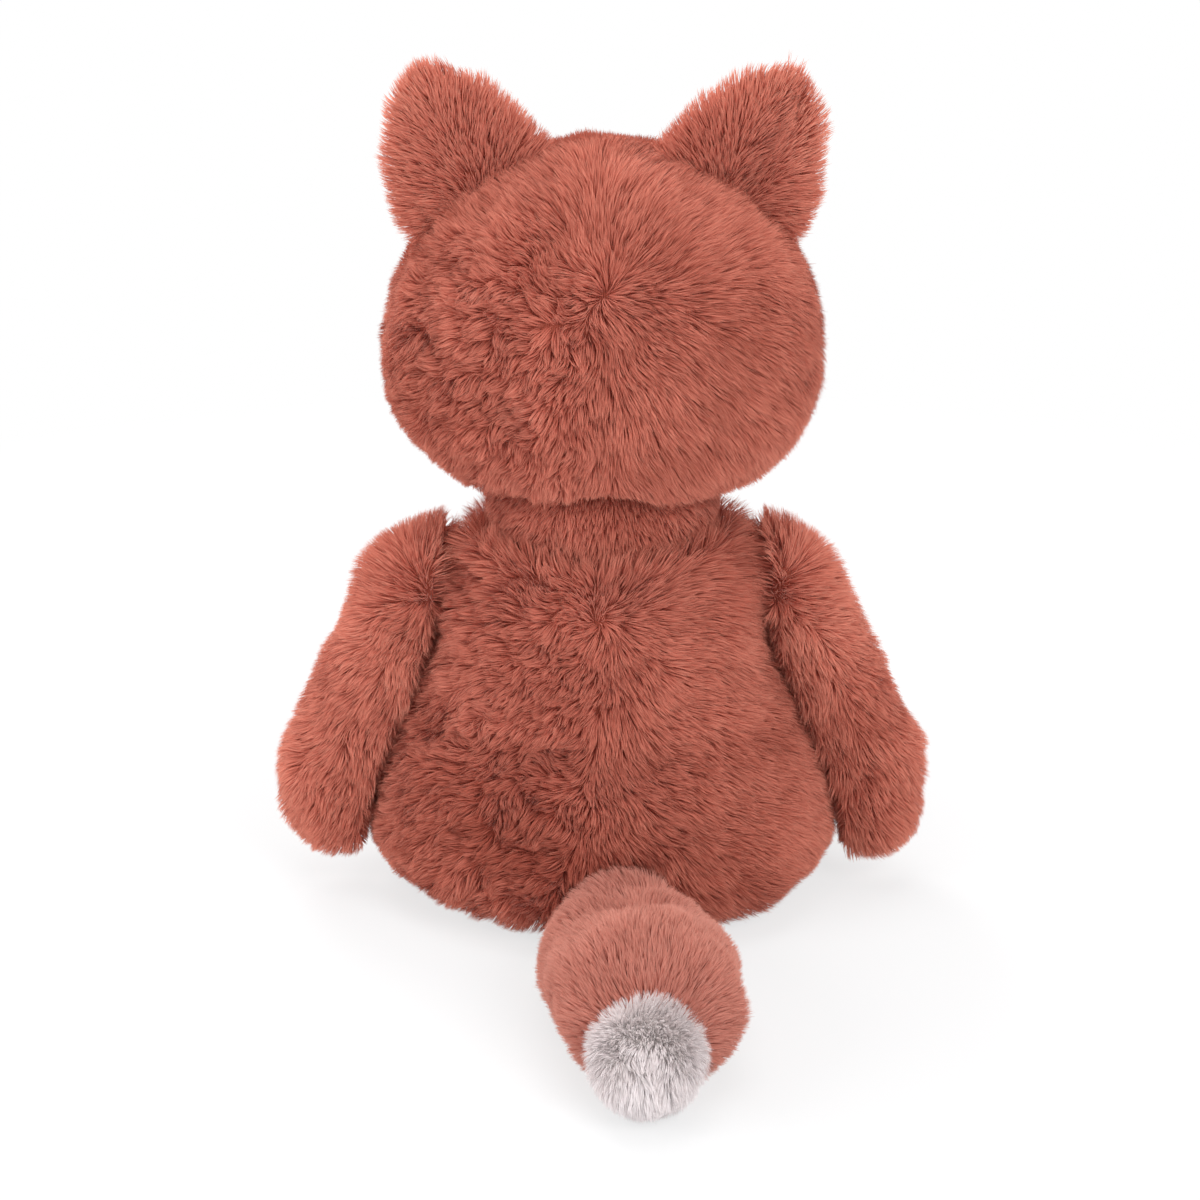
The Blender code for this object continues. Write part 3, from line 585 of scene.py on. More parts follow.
def gather(paths, roots, spacing, pulls, rng, area):
    """Draws blades together toward the middle blade of their tuft. Returns the tuft of each blade."""
    count = max(1, int(area / spacing ** 2))
    middles = rng.choice(len(roots), min(count, len(roots)), replace=False)
    tree = KDTree(len(middles))
    for index, place in enumerate(roots[middles].tolist()):
        tree.insert(place, index)
    tree.balance()
    tufts = np.array([tree.find(place)[1] for place in roots.tolist()])
    heights = np.linspace(0.0, 1.0, BLADE_STEPS + 1) ** PULL_CURVE
    drawn = (pulls * rng.uniform(*PULL_RANGE, len(roots)))[:, None] * heights
    paths += (paths[middles[tufts]] - paths) * drawn[:, :, None]
    return tufts


def blade_mesh(name, paths, sides, widths, tones):
    """A mesh of tapered blades along paths, with their tone and height in the OFBake map."""
    count = len(paths)
    half = sides[:, None, :] * (widths[:, None] * np.array(BLADE_TAPERS) / 2)[:, :, None]
    stems = paths[:, :BLADE_STEPS]
    pairs = np.stack([stems - half, stems + half], axis=2).reshape(count, -1, 3)
    points = np.concatenate([pairs, paths[:, BLADE_STEPS:]], axis=1)
    pattern = np.array([0, 1, 3, 2, 2, 3, 5, 4, 4, 5, 6])
    starts = np.array([0, 4, 8])
    corners = (np.arange(count)[:, None] * points.shape[1] + pattern).ravel()
    mesh = bpy.data.meshes.new(name)
    mesh.vertices.add(count * points.shape[1])
    mesh.vertices.foreach_set("co", points.astype(np.float32).ravel())
    mesh.loops.add(len(corners))
    mesh.loops.foreach_set("vertex_index", corners.astype(np.int32))
    mesh.polygons.add(count * len(starts))
    loop_starts = (np.arange(count)[:, None] * len(pattern) + starts).ravel()
    mesh.polygons.foreach_set("loop_start", loop_starts.astype(np.int32))
    mesh.update(calc_edges=True)
    across = np.array([-1, 1, 1, -1, -1, 1, 1, -1, -1, 1, 0]) * TONE_MAP_REACH
    heights = np.array([0, 0, 1, 1, 1, 1, 2, 2, 2, 2, 3]) / BLADE_STEPS
    places = np.empty((count, len(pattern), 2))
    places[:, :, 0] = np.clip(tones, 0.01, 0.99)[:, None] + across
    places[:, :, 1] = heights
    layer = mesh.uv_layers.new(name="OFBake")
    layer.data.foreach_set("uv", places.astype(np.float32).ravel())
    return mesh


def grow(name, form, body, slot, material, comb, seed, keep, length, density=1.0, mess=0.25,
         tone=0.0, lean=(0.35, 1.15), width=BLADE_WIDTH, upright=None):
    """Pile on a form, of blades that bend over from the first to the second angle in lean.

    Keep is true where it grows. Comb gives the way that it lies, mess how untidy it is, and
    upright, from 0 to 1, how far it stands up where it would lie. Length, mess and tone are
    numbers or fields over the roots.
    """
    rng = np.random.default_rng(seed)
    roots, normals = form.scatter(BLADE_DENSITY * density, rng)
    kept = keep(roots, normals)
    area = len(roots) / (BLADE_DENSITY * density) * kept.mean()
    roots, normals = roots[kept], normals[kept]
    count = len(roots)
    untidy = mess(roots) if callable(mess) else np.full(count, mess)
    way = comb(roots, normals)
    way = unit(way - (way * normals).sum(axis=1, keepdims=True) * normals)
    turn = LAY_SWAY[0] * waves(roots, LAY_LUMPS[0], seed + 1)
    turn = untidy * (turn + LAY_SWAY[1] * waves(roots, LAY_LUMPS[1], seed + 2))
    turn = (turn + rng.normal(0.0, with_mess(LAY_SCATTER, untidy)))[:, None]
    way = way * np.cos(turn) + np.cross(normals, way) * np.sin(turn)
    reach = length(roots) if callable(length) else length
    swell = REACH_SWAY * waves(roots, REACH_LUMPS, seed + 3)
    reach = reach * (1 + swell + rng.normal(0.0, REACH_SCATTER, count))
    reach *= 1 - REACH_LOSS * untidy
    low = lean[0] + rng.normal(0.0, with_mess(LEAN_SCATTER, untidy))
    high = lean[1] - BEND_LOSS * untidy + rng.normal(0.0, with_mess(BEND_SCATTER, untidy))
    high += LIFT_SWAY * untidy * waves(roots, LIFT_LUMPS, seed + 4)
    if upright is not None:
        low, high = low * (1 - upright(roots)), high * (1 - upright(roots))
    paths = np.empty((count, BLADE_STEPS + 1, 3))
    paths[:, 0] = roots
    for step in range(BLADE_STEPS):
        angle = (low + (high - low) * (step + 0.5) / BLADE_STEPS)[:, None]
        move = normals * np.cos(angle) + way * np.sin(angle)
        paths[:, step + 1] = paths[:, step] + move * (reach / BLADE_STEPS)[:, None]
    gather(paths, roots, COARSE_TUFT, with_mess(COARSE_PULL, untidy), rng, area)
    fine = gather(paths, roots, FINE_TUFT, with_mess(FINE_PULL, untidy), rng, area)
    paths[:, :, 2] = np.maximum(paths[:, :, 2], FLOOR_CLEARANCE)
    stems = unit(paths[:, -1] - paths[:, 0])
    sides = unit(np.cross(stems, normals))
    twist = rng.normal(0.0, TWIST_SCATTER, count)[:, None]
    sides = sides * np.cos(twist) + np.cross(stems, sides) * np.sin(twist)
    tones = 0.5 + (tone(roots) if callable(tone) else tone)
    tones = tones + TONE_SWAY[0] * waves(roots, TONE_LUMPS[0], seed + 5)
    tones = tones + TONE_SWAY[1] * waves(roots, TONE_LUMPS[1], seed + 6)
    tones = tones + rng.normal(0.0, TUFT_TONE_SCATTER, fine.max() + 1)[fine]
    tones = tones + rng.normal(0.0, TONE_SCATTER, count)
    widths = width * rng.uniform(*WIDTH_RANGE, count)
    order = np.argsort(roots[:, 0])
    parts = max(1, math.ceil(count / MOST_BLADES))
    for part, chosen in enumerate(np.array_split(order, parts)):
        title = name if parts == 1 else name + "_" + str(part + 1)
        mesh = blade_mesh(title, paths[chosen], sides[chosen], widths[chosen], tones[chosen])
        show(title, mesh, body, slot, material)
    print(name, count, "blades")


def in_oval(points, middle, width, height):
    """True where points lie in an oval in a plane, given their two coordinates there."""
    across = (points[:, 0] - middle[0]) / (width / 2)
    upward = (points[:, 1] - middle[1]) / (height / 2)
    return across ** 2 + upward ** 2 < 1


def distance(points, place):
    """How far points lie from a place."""
    return np.linalg.norm(points - place, axis=1)


def toward(points, x, y, z):
    """The same way at every point."""
    return np.tile(np.array([x, y, z], dtype=float), (len(points), 1))


# Body

# Where its form and its pile change. The ranges are distances from the middle (WIDTHS), heights
# (HEIGHTS), or places from front to back (BACK).
BODY_BACK = (-0.030, 0.010)
RIM_BACK = (-0.020, 0.010)
MESS_BACK = (-0.020, 0.020)
TONE_BACK = (0.0, 0.030)
FORM_BACK = (0.0, 0.040)
PART_WIDTH = 0.024
PART_SWAY = 0.003
PART_SWAY_LENGTH = 0.011
COLLAR_HEIGHTS = (0.100, 0.145)
COLLAR_WIDTHS = (0.022, 0.038)
LEFT_WIDTHS = (-0.010, 0.020)
WAIST_Z = 0.068
# The width of the painted shade along the waist crease.
WAIST_SHADE_WIDTH = 0.006
WAIST_WIDTH = 0.008
WAIST_DEPTH = 0.0035
WAIST_WIDTHS = (-0.045, -0.005)
SHADE_PLACE = (0.030, 0.045)
SHADE_SIZE = (0.030, 0.022)
SHADE_HEIGHTS = (0.095, 0.045)
SHOULDER_HEIGHTS = (0.096, 0.116)
SHOULDER_TOPS = (0.142, 0.128)
SHOULDER_WIDTHS = (0.024, 0.038)
CORNER_HEIGHTS = (0.134, 0.148)
CORNER_WIDTHS = (0.022, 0.034)
RIM_HEIGHTS = (0.122, 0.138)
RIM_WIDTHS = (0.030, 0.042)
SEAM_DEPTH = 0.0015
SEAM_WIDTH = 0.009
FOLD_PLACE = (0.020, 0.105)
FOLD_SLOPE = 0.55
FOLD_DEPTH = 0.0022
FOLD_WIDTH = 0.005
FOLD_WIDTHS = (-0.005, 0.010)
BODY_LUMPS = 0.050
BODY_LUMP_HEIGHT = 0.0011
SLOPE_HEIGHTS = (0.126, 0.140)
SLOPE_WIDTHS = (0.020, 0.036)
SLOPE_DROP = 0.0025
HIP_ROOM = 0.0235
TAIL_ROOM = 0.016
NECK_ROOM = 0.0435


def on_tummy(points):
    """True on the pale panel of the tummy."""
    return in_oval(points[:, [0, 2]], (0.0, TUMMY_Z), TUMMY_WIDTH, TUMMY_HEIGHT) & (points[:, 1] < 0)


def body_comb(points, normals):
    """From the seam in the back outward and down, and up at the neck. Down in front."""
    x, y, z = points.T
    outward = np.tanh((x + PART_SWAY * np.sin(z / PART_SWAY_LENGTH)) / PART_WIDTH)
    rise = np.clip(z / BODY_SIZE[2], 0.0, 1.0)
    back = ease(y, *BODY_BACK)
    collar = ease(z, *COLLAR_HEIGHTS) * (1 - ease(np.abs(x), *COLLAR_WIDTHS))
    collar *= ease(y, *RIM_BACK)
    down = (1.0 - back * (0.45 + 0.25 * rise)) * (1 - collar) - 1.3 * collar
    return np.stack([outward * (0.25 + 0.75 * back), 0 * y, -down], axis=1)


def body_mess(points):
    """The pile is untidier on the left of the back."""
    x, y, _ = points.T
    return 0.22 + 0.55 * ease(y, *MESS_BACK) * ease(x, *LEFT_WIDTHS)


def body_tone_and_shade(points):
    """Painted shade: darker along the waist crease and low down, most of all low on the left."""
    x, y, z = points.T
    crease = bump(z, WAIST_Z, WAIST_SHADE_WIDTH)
    shade = bump(x, SHADE_PLACE[0], SHADE_SIZE[0]) * bump(z, SHADE_PLACE[1], SHADE_SIZE[1])
    low = ease(z, *SHADE_HEIGHTS)
    return -0.09 - ease(y, *TONE_BACK) * (0.12 * crease + 0.20 * shade + 0.10 * low)


def at_shoulder(points):
    """1 where the body's pile meets that of the arms, and 0 away from there."""
    x, _, z = points.T
    height = ease(z, *SHOULDER_HEIGHTS) * ease(z, *SHOULDER_TOPS)
    return height * ease(np.abs(x), *SHOULDER_WIDTHS)


def body_length(points):
    """Longer on the shoulders, and at the back of the rim. Short at its front and its corners."""
    x, y, z = points.T
    corner = ease(np.abs(x), *CORNER_WIDTHS) * ease(z, *CORNER_HEIGHTS)
    rim = ease(z, *RIM_HEIGHTS) * (1 - ease(np.abs(x), *RIM_WIDTHS))
    back = ease(y, *RIM_BACK)
    return LONG_PILE * (1 + 0.45 * at_shoulder(points) + (0.90 * back - 0.35) * rim - 0.45 * corner)


def off_sockets(points):
    """False where a limb, the tail or the neck leaves no room for pile."""
    room = np.ones(len(points), dtype=bool)
    for joint, radius in (("hip_left", HIP_ROOM), ("hip_right", HIP_ROOM), ("tail_swing", TAIL_ROOM),
                          ("neck_turn", NECK_ROOM)):
        room &= distance(points, PIVOTS[joint]) > radius
    return room


def make_body():
    """The body's skin with its tummy, and their pile."""
    form = Form(BODY_RINGS, BODY_SIZE, BODY_START, (0.0, 0.0, 0.0), inset=BODY_INSET)
    x, y, z = form.points.T
    back = ease(y, *FORM_BACK)
    seam = -SEAM_DEPTH * bump(x, 0.0, SEAM_WIDTH) * back
    crease = -WAIST_DEPTH * bump(z, WAIST_Z, WAIST_WIDTH) * back * ease(x, *WAIST_WIDTHS)
    ridge = (z - FOLD_PLACE[1]) - FOLD_SLOPE * (x - FOLD_PLACE[0])
    fold = -FOLD_DEPTH * bump(ridge, 0.0, FOLD_WIDTH) * back * ease(x, *FOLD_WIDTHS)
    form.push(seam + crease + fold + BODY_LUMP_HEIGHT * waves(form.points, BODY_LUMPS, 11))
    form.points[:, 2] -= SLOPE_DROP * (ease(np.abs(x), *SLOPE_WIDTHS) * ease(z, *SLOPE_HEIGHTS))
    for side, sign in SIDES:
        along = (sign * math.sin(LEG_SPLAY), -math.cos(LEG_SPLAY), 0.0)
        form.dent(PIVOTS["hip_" + side], along, LEG_RADIUS)
    form.dent(PIVOTS["tail_swing"], (0.0, 1.0, 0.0), TAIL_ROOT_RADIUS)
    form.dent(PIVOTS["neck_turn"], (0.0, 0.0, 1.0), NECK_RADIUS)
    form.lift(FLOOR_CLEARANCE)
    make_skin("body_skin", form, "body", "rust_fur", ("body_fur", "tummy_panel"),
              (RUST_BACKING, CREAM_BACKING), on_tummy)

    def on_back(roots, normals):
        return off_sockets(roots) & ~on_tummy(roots) & (normals[:, 2] > -0.93)

    def on_front(roots, normals):
        return off_sockets(roots) & on_tummy(roots)

    grow("body_pile", form, "body", "rust_fur", RUST_PILE, body_comb, 100, on_back, length=body_length,
         mess=body_mess, tone=body_tone_and_shade, upright=lambda roots: 0.65 * at_shoulder(roots))
    grow("tummy_pile", form, "body", "cream_fur", CREAM_PILE, body_comb, 120, on_front,
         length=TUMMY_PILE, mess=0.20)


# Neck

NECK_BAND = 0.014


def make_neck():
    """The ball of the neck, with pile where the head and the body leave it open."""
    size = (2 * NECK_RADIUS,) * 3
    form = Form(BALL_RINGS, size, -NECK_RADIUS, PIVOTS["neck_turn"], inset=NECK_INSET)
    make_skin("neck_skin", form, "neck", "polyester_filling", ("neck_filling",), (RUST_BACKING,))

    def at_seam(roots, normals):
        return np.abs(roots[:, 2] - NECK_Z) < NECK_BAND

    # The neck pile is painted darker, as painted shade under the head.
    grow("neck_pile", form, "neck", "rust_fur", RUST_PILE, lambda roots, normals: toward(roots, 0, 0, -1),
         140, at_seam, length=NECK_PILE, lean=(0.3, 1.0), tone=-0.10)


# Head

HEAD_BACK = (-0.025, 0.020)
HEAD_LEFT_WIDTHS = (-0.004, 0.016)
CURL_HEIGHTS = (0.262, 0.225)
HEAD_PART_WIDTH = 0.013
HEAD_SWAY = 0.002
HEAD_SWAY_LENGTH = 0.009
FACE_DROP = 0.010
LIGHT_PART_WIDTH = 0.012
LIGHT_PART_HEIGHTS = (0.205, 0.240)
LIGHT_CHIN_HEIGHTS = (0.185, 0.150)
CHIN_HEIGHTS = (0.164, 0.148)
NAPE_HEIGHTS = (0.190, 0.160)
NAPE_WIDTH = 0.014
HEAD_FORM_WIDTHS = (0.0, 0.020)
HEAD_SEAM_DEPTH = 0.0008
HEAD_SEAM_WIDTH = 0.008
CURL_LUMPS = 0.030
HEAD_LUMP_HEIGHT = 0.0004
LEFT_LUMP_HEIGHT = 0.0013
EYE_ROOM = 0.0012
MUZZLE_ROOM = (0.048, 0.034)
MUZZLE_PILE_BACK = -0.050


def on_cheek(points):
    """True on the pale cheeks."""
    left = in_oval(points[:, [0, 2]], (CHEEK_X, CHEEK_Z), CHEEK_WIDTH, CHEEK_HEIGHT)
    right = in_oval(points[:, [0, 2]], (-CHEEK_X, CHEEK_Z), CHEEK_WIDTH, CHEEK_HEIGHT)
    return (left | right) & (points[:, 1] < CHEEK_BACK_Y)


def head_comb(points, normals):
    """Away from the muzzle and over the top. Behind, from the seam outward: down low, up high."""
    x, y, z = points.T
    outward = np.tanh((x + HEAD_SWAY * np.sin(z / HEAD_SWAY_LENGTH)) / HEAD_PART_WIDTH)
    rise = np.clip((z - HEAD_BASE_Z) / HEAD_SIZE[2], 0.0, 1.0)
    over = ease(normals[:, 2], 0.25, 0.85)
    crown = ease(rise, 0.55, 0.85)
    back_way = np.stack([outward * (0.45 + 0.55 * rise), -0.3 * over, -0.75 + 1.45 * crown], axis=1)
    front_way = points - np.array([0.0, 0.0, MUZZLE_Z - FACE_DROP])
    front_way[:, 1] = 0.35 * np.abs(front_way[:, 0]) + 0.10 * over
    back = ease(y, *HEAD_BACK)[:, None]
    return unit(back_way) * back + unit(front_way) * (1 - back)


def head_mess(points):
    """The pile is untidier on the left of the back, but for the crown."""
    x, y, z = points.T
    back = ease(y, *MESS_BACK)
    left = ease(x, *HEAD_LEFT_WIDTHS)
    low = ease(z, *CURL_HEIGHTS)
    return 0.12 + 0.08 * back + 0.65 * back * left * low


def head_tone(points):
    """Painted light along the seam at the top of the back, where the pile parts, lighter below, and
    painted shade where the pile is untidy on the left of the back.
    """
    x, y, z = points.T
    part = bump(x, 0.0, LIGHT_PART_WIDTH) * ease(z, *LIGHT_PART_HEIGHTS) * ease(y, *MESS_BACK)
    low = ease(z, *LIGHT_CHIN_HEIGHTS)
    return -0.15 - 0.05 * head_mess(points) + 0.06 * part + 0.06 * low


def head_length(points):
    """Shorter below, over the neck, and most so in the middle."""
    x, _, z = points.T
    middle = bump(x, 0.0, NAPE_WIDTH) * ease(z, *NAPE_HEIGHTS)
    return LONG_PILE * (1 - 0.40 * ease(z, *CHIN_HEIGHTS)) * (1 - 0.40 * middle)


def make_head():
    """The head's skin with its cheeks, and their pile."""
    form = Form(HEAD_RINGS, HEAD_SIZE, HEAD_BASE_Z - NECK_Z, PIVOTS["neck_turn"], inset=BODY_INSET)
    x, y, _ = form.points.T
    back = ease(y, *FORM_BACK)
    seam = -HEAD_SEAM_DEPTH * bump(x, 0.0, HEAD_SEAM_WIDTH) * back
    heights = HEAD_LUMP_HEIGHT + LEFT_LUMP_HEIGHT * back * ease(x, *HEAD_FORM_WIDTHS)
    form.push(seam + waves(form.points, CURL_LUMPS, 21) * heights)
    form.dent(PIVOTS["neck_turn"], (0.0, 0.0, -1.0), NECK_RADIUS)
    make_skin("head_skin", form, "head", "rust_fur", ("head_fur", "cheek_left", "cheek_right"),
              (RUST_BACKING, CREAM_BACKING), on_cheek)

    def clear(roots):
        room = distance(roots, PIVOTS["neck_turn"]) > NECK_ROOM
        for _, sign in SIDES:
            room &= distance(roots, (sign * EYE_X, EYE_Y, EYE_Z)) > EYE_RADIUS + EYE_ROOM
        return room & ~in_oval(roots[:, [0, 2]], (0.0, MUZZLE_Z), *MUZZLE_ROOM) | (roots[:, 1] > 0)

    def on_head(roots, normals):
        return clear(roots) & ~on_cheek(roots)

    def on_cheeks(roots, normals):
        return clear(roots) & on_cheek(roots)

    grow("head_pile", form, "head", "rust_fur", RUST_PILE, head_comb, 200, on_head, length=head_length,
         mess=head_mess, tone=head_tone)
    grow("cheek_pile", form, "head", "cream_fur", CREAM_PILE, head_comb, 220, on_cheeks,
         length=lambda roots: 0.70 * head_length(roots), mess=0.14)


def muzzle_comb(points, normals):
    """From the nose back over the muzzle."""
    way = toward(points, 0.0, 1.0, 0.0)
    way[:, 2] = -0.25
    return way


def make_muzzle():
    """The muzzle's skin and pile."""
    form = Form(MUZZLE_RINGS, MUZZLE_SIZE, 0.0, (0.0, MUZZLE_BACK_Y, MUZZLE_Z),
                (math.pi / 2, 0.0, 0.0), inset=MUZZLE_INSET)
    make_skin("muzzle_skin", form, "head", "cream_fur", ("muzzle",), (CREAM_BACKING,))

    def clear(roots, normals):
        off_nose = distance(roots, (0.0, NOSE_Y, NOSE_Z)) > NOSE_RADIUS
        return off_nose & (roots[:, 1] < MUZZLE_PILE_BACK)

    grow("muzzle_pile", form, "head", "cream_fur", CREAM_PILE, muzzle_comb, 240, clear,
         length=MUZZLE_PILE, density=1.5, mess=0.15, lean=(0.5, 1.2), width=SHORT_BLADE_WIDTH)


# Buttons of the face
BUTTON_RINGS = 20
BUTTON_SIDES = 48
SHANK_RADIUS = 0.0022
SHANK_END_RADIUS = 0.0011
SHANK_LENGTH = 0.0160
SHANK_BEVEL = 0.0005
BUTTON_BACK = 0.0012
BUTTON_BACK_EDGE = 0.0009
LEAST_SQUEEZED = 0.003


def button(name, radius, height, location, rotation, squeeze):
    """A glossy domed button with a rolled rim, on its shank. Squeeze draws its lower edge in."""
    sides = BUTTON_SIDES
    profile = [(SHANK_END_RADIUS, -SHANK_LENGTH), (SHANK_RADIUS, SHANK_BEVEL - SHANK_LENGTH),
               (SHANK_RADIUS, -BUTTON_BACK), (radius * 0.93, -BUTTON_BACK_EDGE)]
    for step in range(BUTTON_RINGS + 1):
        angle = math.pi / 2 * step / BUTTON_RINGS
        profile.append((radius * math.cos(angle) ** 0.9, height * math.sin(angle)))
    points = []
    for reach, along in profile[:-1]:
        for side in range(sides):
            angle = 2 * math.pi * side / sides
            x, y = reach * math.cos(angle), reach * math.sin(angle)
            narrow = 1 - squeeze * (0.5 - y / radius / 2) if reach > LEAST_SQUEEZED else 1.0
            points.append((x * narrow, y, along))
    faces = []
    rows = len(profile) - 1
    for row in range(rows - 1):
        for side in range(sides):
            after = (side + 1) % sides
            faces.append((row * sides + side, row * sides + after,
                          (row + 1) * sides + after, (row + 1) * sides + side))
    faces.append(tuple(reversed(range(sides))))
    top = len(points)
    points.append((0.0, 0.0, height))
    for side in range(sides):
        faces.append(((rows - 1) * sides + side, (rows - 1) * sides + (side + 1) % sides, top))
    turn = Euler(rotation).to_matrix()
    placed = [turn @ Vector(point) + Vector(location) for point in points]
    mesh = bpy.data.meshes.new(name)
    mesh.from_pydata([tuple(point) for point in placed], [], faces)
    return show(name, mesh, "head", "black_plastic", BLACK_GLOSS)


def make_face():
    """The eyes and the nose."""
    for side, sign in SIDES:
        eye = button("eye_bead_" + side, EYE_RADIUS, EYE_HEIGHT, (sign * EYE_X, EYE_Y, EYE_Z),
                     (math.pi / 2, 0.0, sign * EYE_TURN), 0.0)
        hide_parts("eye_" + side)
    nose = button("nose_bead", NOSE_RADIUS, NOSE_HEIGHT, (0.0, NOSE_Y, NOSE_Z),
                  (math.pi / 2, 0.0, 0.0), NOSE_SQUEEZE)
    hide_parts("nose")


# Ears

EAR_CUP_SHARE = 1.2
EAR_CUP_DEPTH = 0.0022
EAR_FOLD_DEPTH = 0.0026
EAR_FOLD_X = 0.004
EAR_FOLD_WIDTH = 0.004
EAR_FOLD_HEIGHTS = (0.0, 0.010)
EAR_FOOT = -0.004
EAR_COMB_RISE = 0.012


def make_ear(side, sign, seed):
    """An ear's skin, its fur and its lining. The right ear has a fold down its back."""
    body = "ear_" + side
    pivot = PIVOTS["ear_flop_" + side]
    lean = sign * EAR_LEANS[side]
    form = Form(EAR_RINGS, EAR_SIZE, -EAR_SIZE[1] / 2, pivot, (0.0, lean, 0.0), EAR_INSET,
                (0.0, -EAR_TIP_CURL))

    def in_lining(points, normals):
        places = form.local(points)
        inside = in_oval(places[:, [0, 2]], (0.0, LINING_Z), LINING_WIDTH, LINING_HEIGHT)
        return inside & (normals[:, 1] < -0.2)

    places = form.local(form.points)
    cup = in_oval(places[:, [0, 2]], (0.0, LINING_Z), LINING_WIDTH * EAR_CUP_SHARE,
                  LINING_HEIGHT * EAR_CUP_SHARE)
    hollow = EAR_CUP_DEPTH * (cup & (places[:, 1] < -EAR_TIP_CURL / 2))
    fold = EAR_FOLD_DEPTH * bump(places[:, 0], sign * EAR_FOLD_X, EAR_FOLD_WIDTH) * (side == "right")
    fold = fold * (places[:, 1] > 0) * ease(places[:, 2], *EAR_FOLD_HEIGHTS)
    form.push(-hollow - fold)

    def comb(points, normals):
        """Up from the foot of the ear and out to its edges."""
        x, y, z = form.local(points).T
        return unit(np.stack([x, 0 * y, EAR_COMB_RISE + 0.35 * z], axis=1)) @ form.turn.T

    def on_fur(roots, normals):
        return ~in_lining(roots, normals) & (form.local(roots)[:, 2] > EAR_FOOT)

    make_skin("ear_skin_" + side, form, body, "rust_fur", (body, "ear_lining_" + side),
              (RUST_BACKING,))
    grow("ear_pile_" + side, form, body, "rust_fur", RUST_PILE, comb, seed, on_fur, length=EAR_PILE,
         mess=0.12, tone=0.14, lean=(0.50, 1.10))
    grow("ear_lining_pile_" + side, form, body, "short_pile", SHORT_FUR, comb, seed + 20, in_lining,
         length=SHORT_PILE, density=2.2, mess=0.15, width=SHORT_BLADE_WIDTH)


# Arms

LIMB_LUMPS = 0.035
LIMB_LUMP_HEIGHT = 0.0009
ARM_TOP_HEIGHTS = (0.095, 0.125)
ARM_TOP_SWELL = 0.0020
ARM_CROWN_HEIGHTS = (0.118, 0.142)
ARM_CROWN_DROP = 0.0060
ARM_INWARD = 0.006
ARM_TOP_INWARD = 0.004
ARM_SIDE_ROOM = 0.0020
SWIRL_PLACE = (0.064, 0.020, 0.096)
SWIRL_SPREAD = 0.020
SWIRL_PAINTED_LIGHT_WIDTH = 0.016
ARM_COMB_HEIGHTS = (0.095, 0.135)
ARM_INWARD_HEIGHTS = (0.122, 0.136)
ARM_LONG_HEIGHTS = (0.100, 0.122)
ARM_UPRIGHT_HEIGHTS = (0.104, 0.122)
ARM_INNER_TOP = 0.104
ARM_INNER_FACING = 0.70


def make_arm(side, sign, seed):
    """An arm's skin, its long pile, and the short pile that faces the body."""
    body = "arm_" + side
    pivot = PIVOTS["shoulder_" + side]
    form = Form(ARM_RINGS, ARM_SIZE, ARM_BASE_Z - SHOULDER_Z, pivot, inset=LIMB_INSET,
                reach=(sign * ARM_REACH, 0.0))
    inner = ease(-sign * form.normals()[:, 0], 0.1, 0.7)
    top = ease(form.points[:, 2], *ARM_TOP_HEIGHTS)
    form.push(LIMB_LUMP_HEIGHT * waves(form.points, LIMB_LUMPS, seed) + ARM_TOP_SWELL * top)
    form.points[:, 2] -= ARM_CROWN_DROP * ease(form.points[:, 2], *ARM_CROWN_HEIGHTS)
    form.points[:, 0] -= sign * (ARM_INWARD + ARM_TOP_INWARD * top) * inner
    offset = form.points - pivot
    away = np.hypot(offset[:, 1], np.minimum(offset[:, 2], 0.0))
    widest = BODY_RINGS[3][0] * BODY_SIZE[2]
    limit = body_half_width(np.maximum(SHOULDER_Z - away, widest)) + ARM_GAP + ARM_SIDE_ROOM
    form.points[:, 0] = sign * np.maximum(sign * form.points[:, 0], limit)
    make_skin("arm_skin_" + side, form, body, "rust_fur", (body,), (RUST_BACKING,))
    swirl = np.array(SWIRL_PLACE) * (sign, 1.0, 1.0)

    def comb(points, normals):
        """Out from a swirl behind the shoulder, and down. Inward at the top."""
        away = points - swirl
        away[:, 1] *= 0.3
        away = np.tanh(away / SWIRL_SPREAD)
        top = ease(points[:, 2], *ARM_COMB_HEIGHTS)[:, None]
        away[:, 2:] *= 1 - 0.6 * top
        inward = ease(points[:, 2], *ARM_INWARD_HEIGHTS)[:, None]
        down = toward(points, sign * 0.30, 0.0, -0.45)
        return away * 0.6 + down * (1 - top) + toward(points, -sign * 0.6, 0.0, 0.0) * inward

    def tone(points):
        """Lighter at the swirl: painted light where the blades part."""
        return 0.04 + 0.18 * bump(distance(points, swirl), 0.0, SWIRL_PAINTED_LIGHT_WIDTH)

    def reach(points):
        """Longer at the shoulder."""
        return LIMB_PILE * (1 + 0.25 * ease(points[:, 2], *ARM_LONG_HEIGHTS))

    def upright(points):
        return 0.30 * ease(points[:, 2], *ARM_UPRIGHT_HEIGHTS)

    def outer(roots, normals):
        return (sign * normals[:, 0] > -ARM_INNER_FACING) | (roots[:, 2] > ARM_INNER_TOP)

    def inside(roots, normals):
        return ~outer(roots, normals)

    grow("arm_pile_" + side, form, body, "rust_fur", RUST_PILE, comb, seed + 10, outer, length=reach,
         mess=0.35, tone=tone, upright=upright)
    grow("arm_inner_pile_" + side, form, body, "rust_fur", RUST_PILE, comb, seed + 20, inside,
         length=INNER_ARM_PILE, density=0.8, mess=0.2, lean=(0.5, 1.1))


# Legs

SOLE_START_SHARE = 0.93
LEG_ROOT_END = -0.002
LEG_ROOT_FACING = -0.3


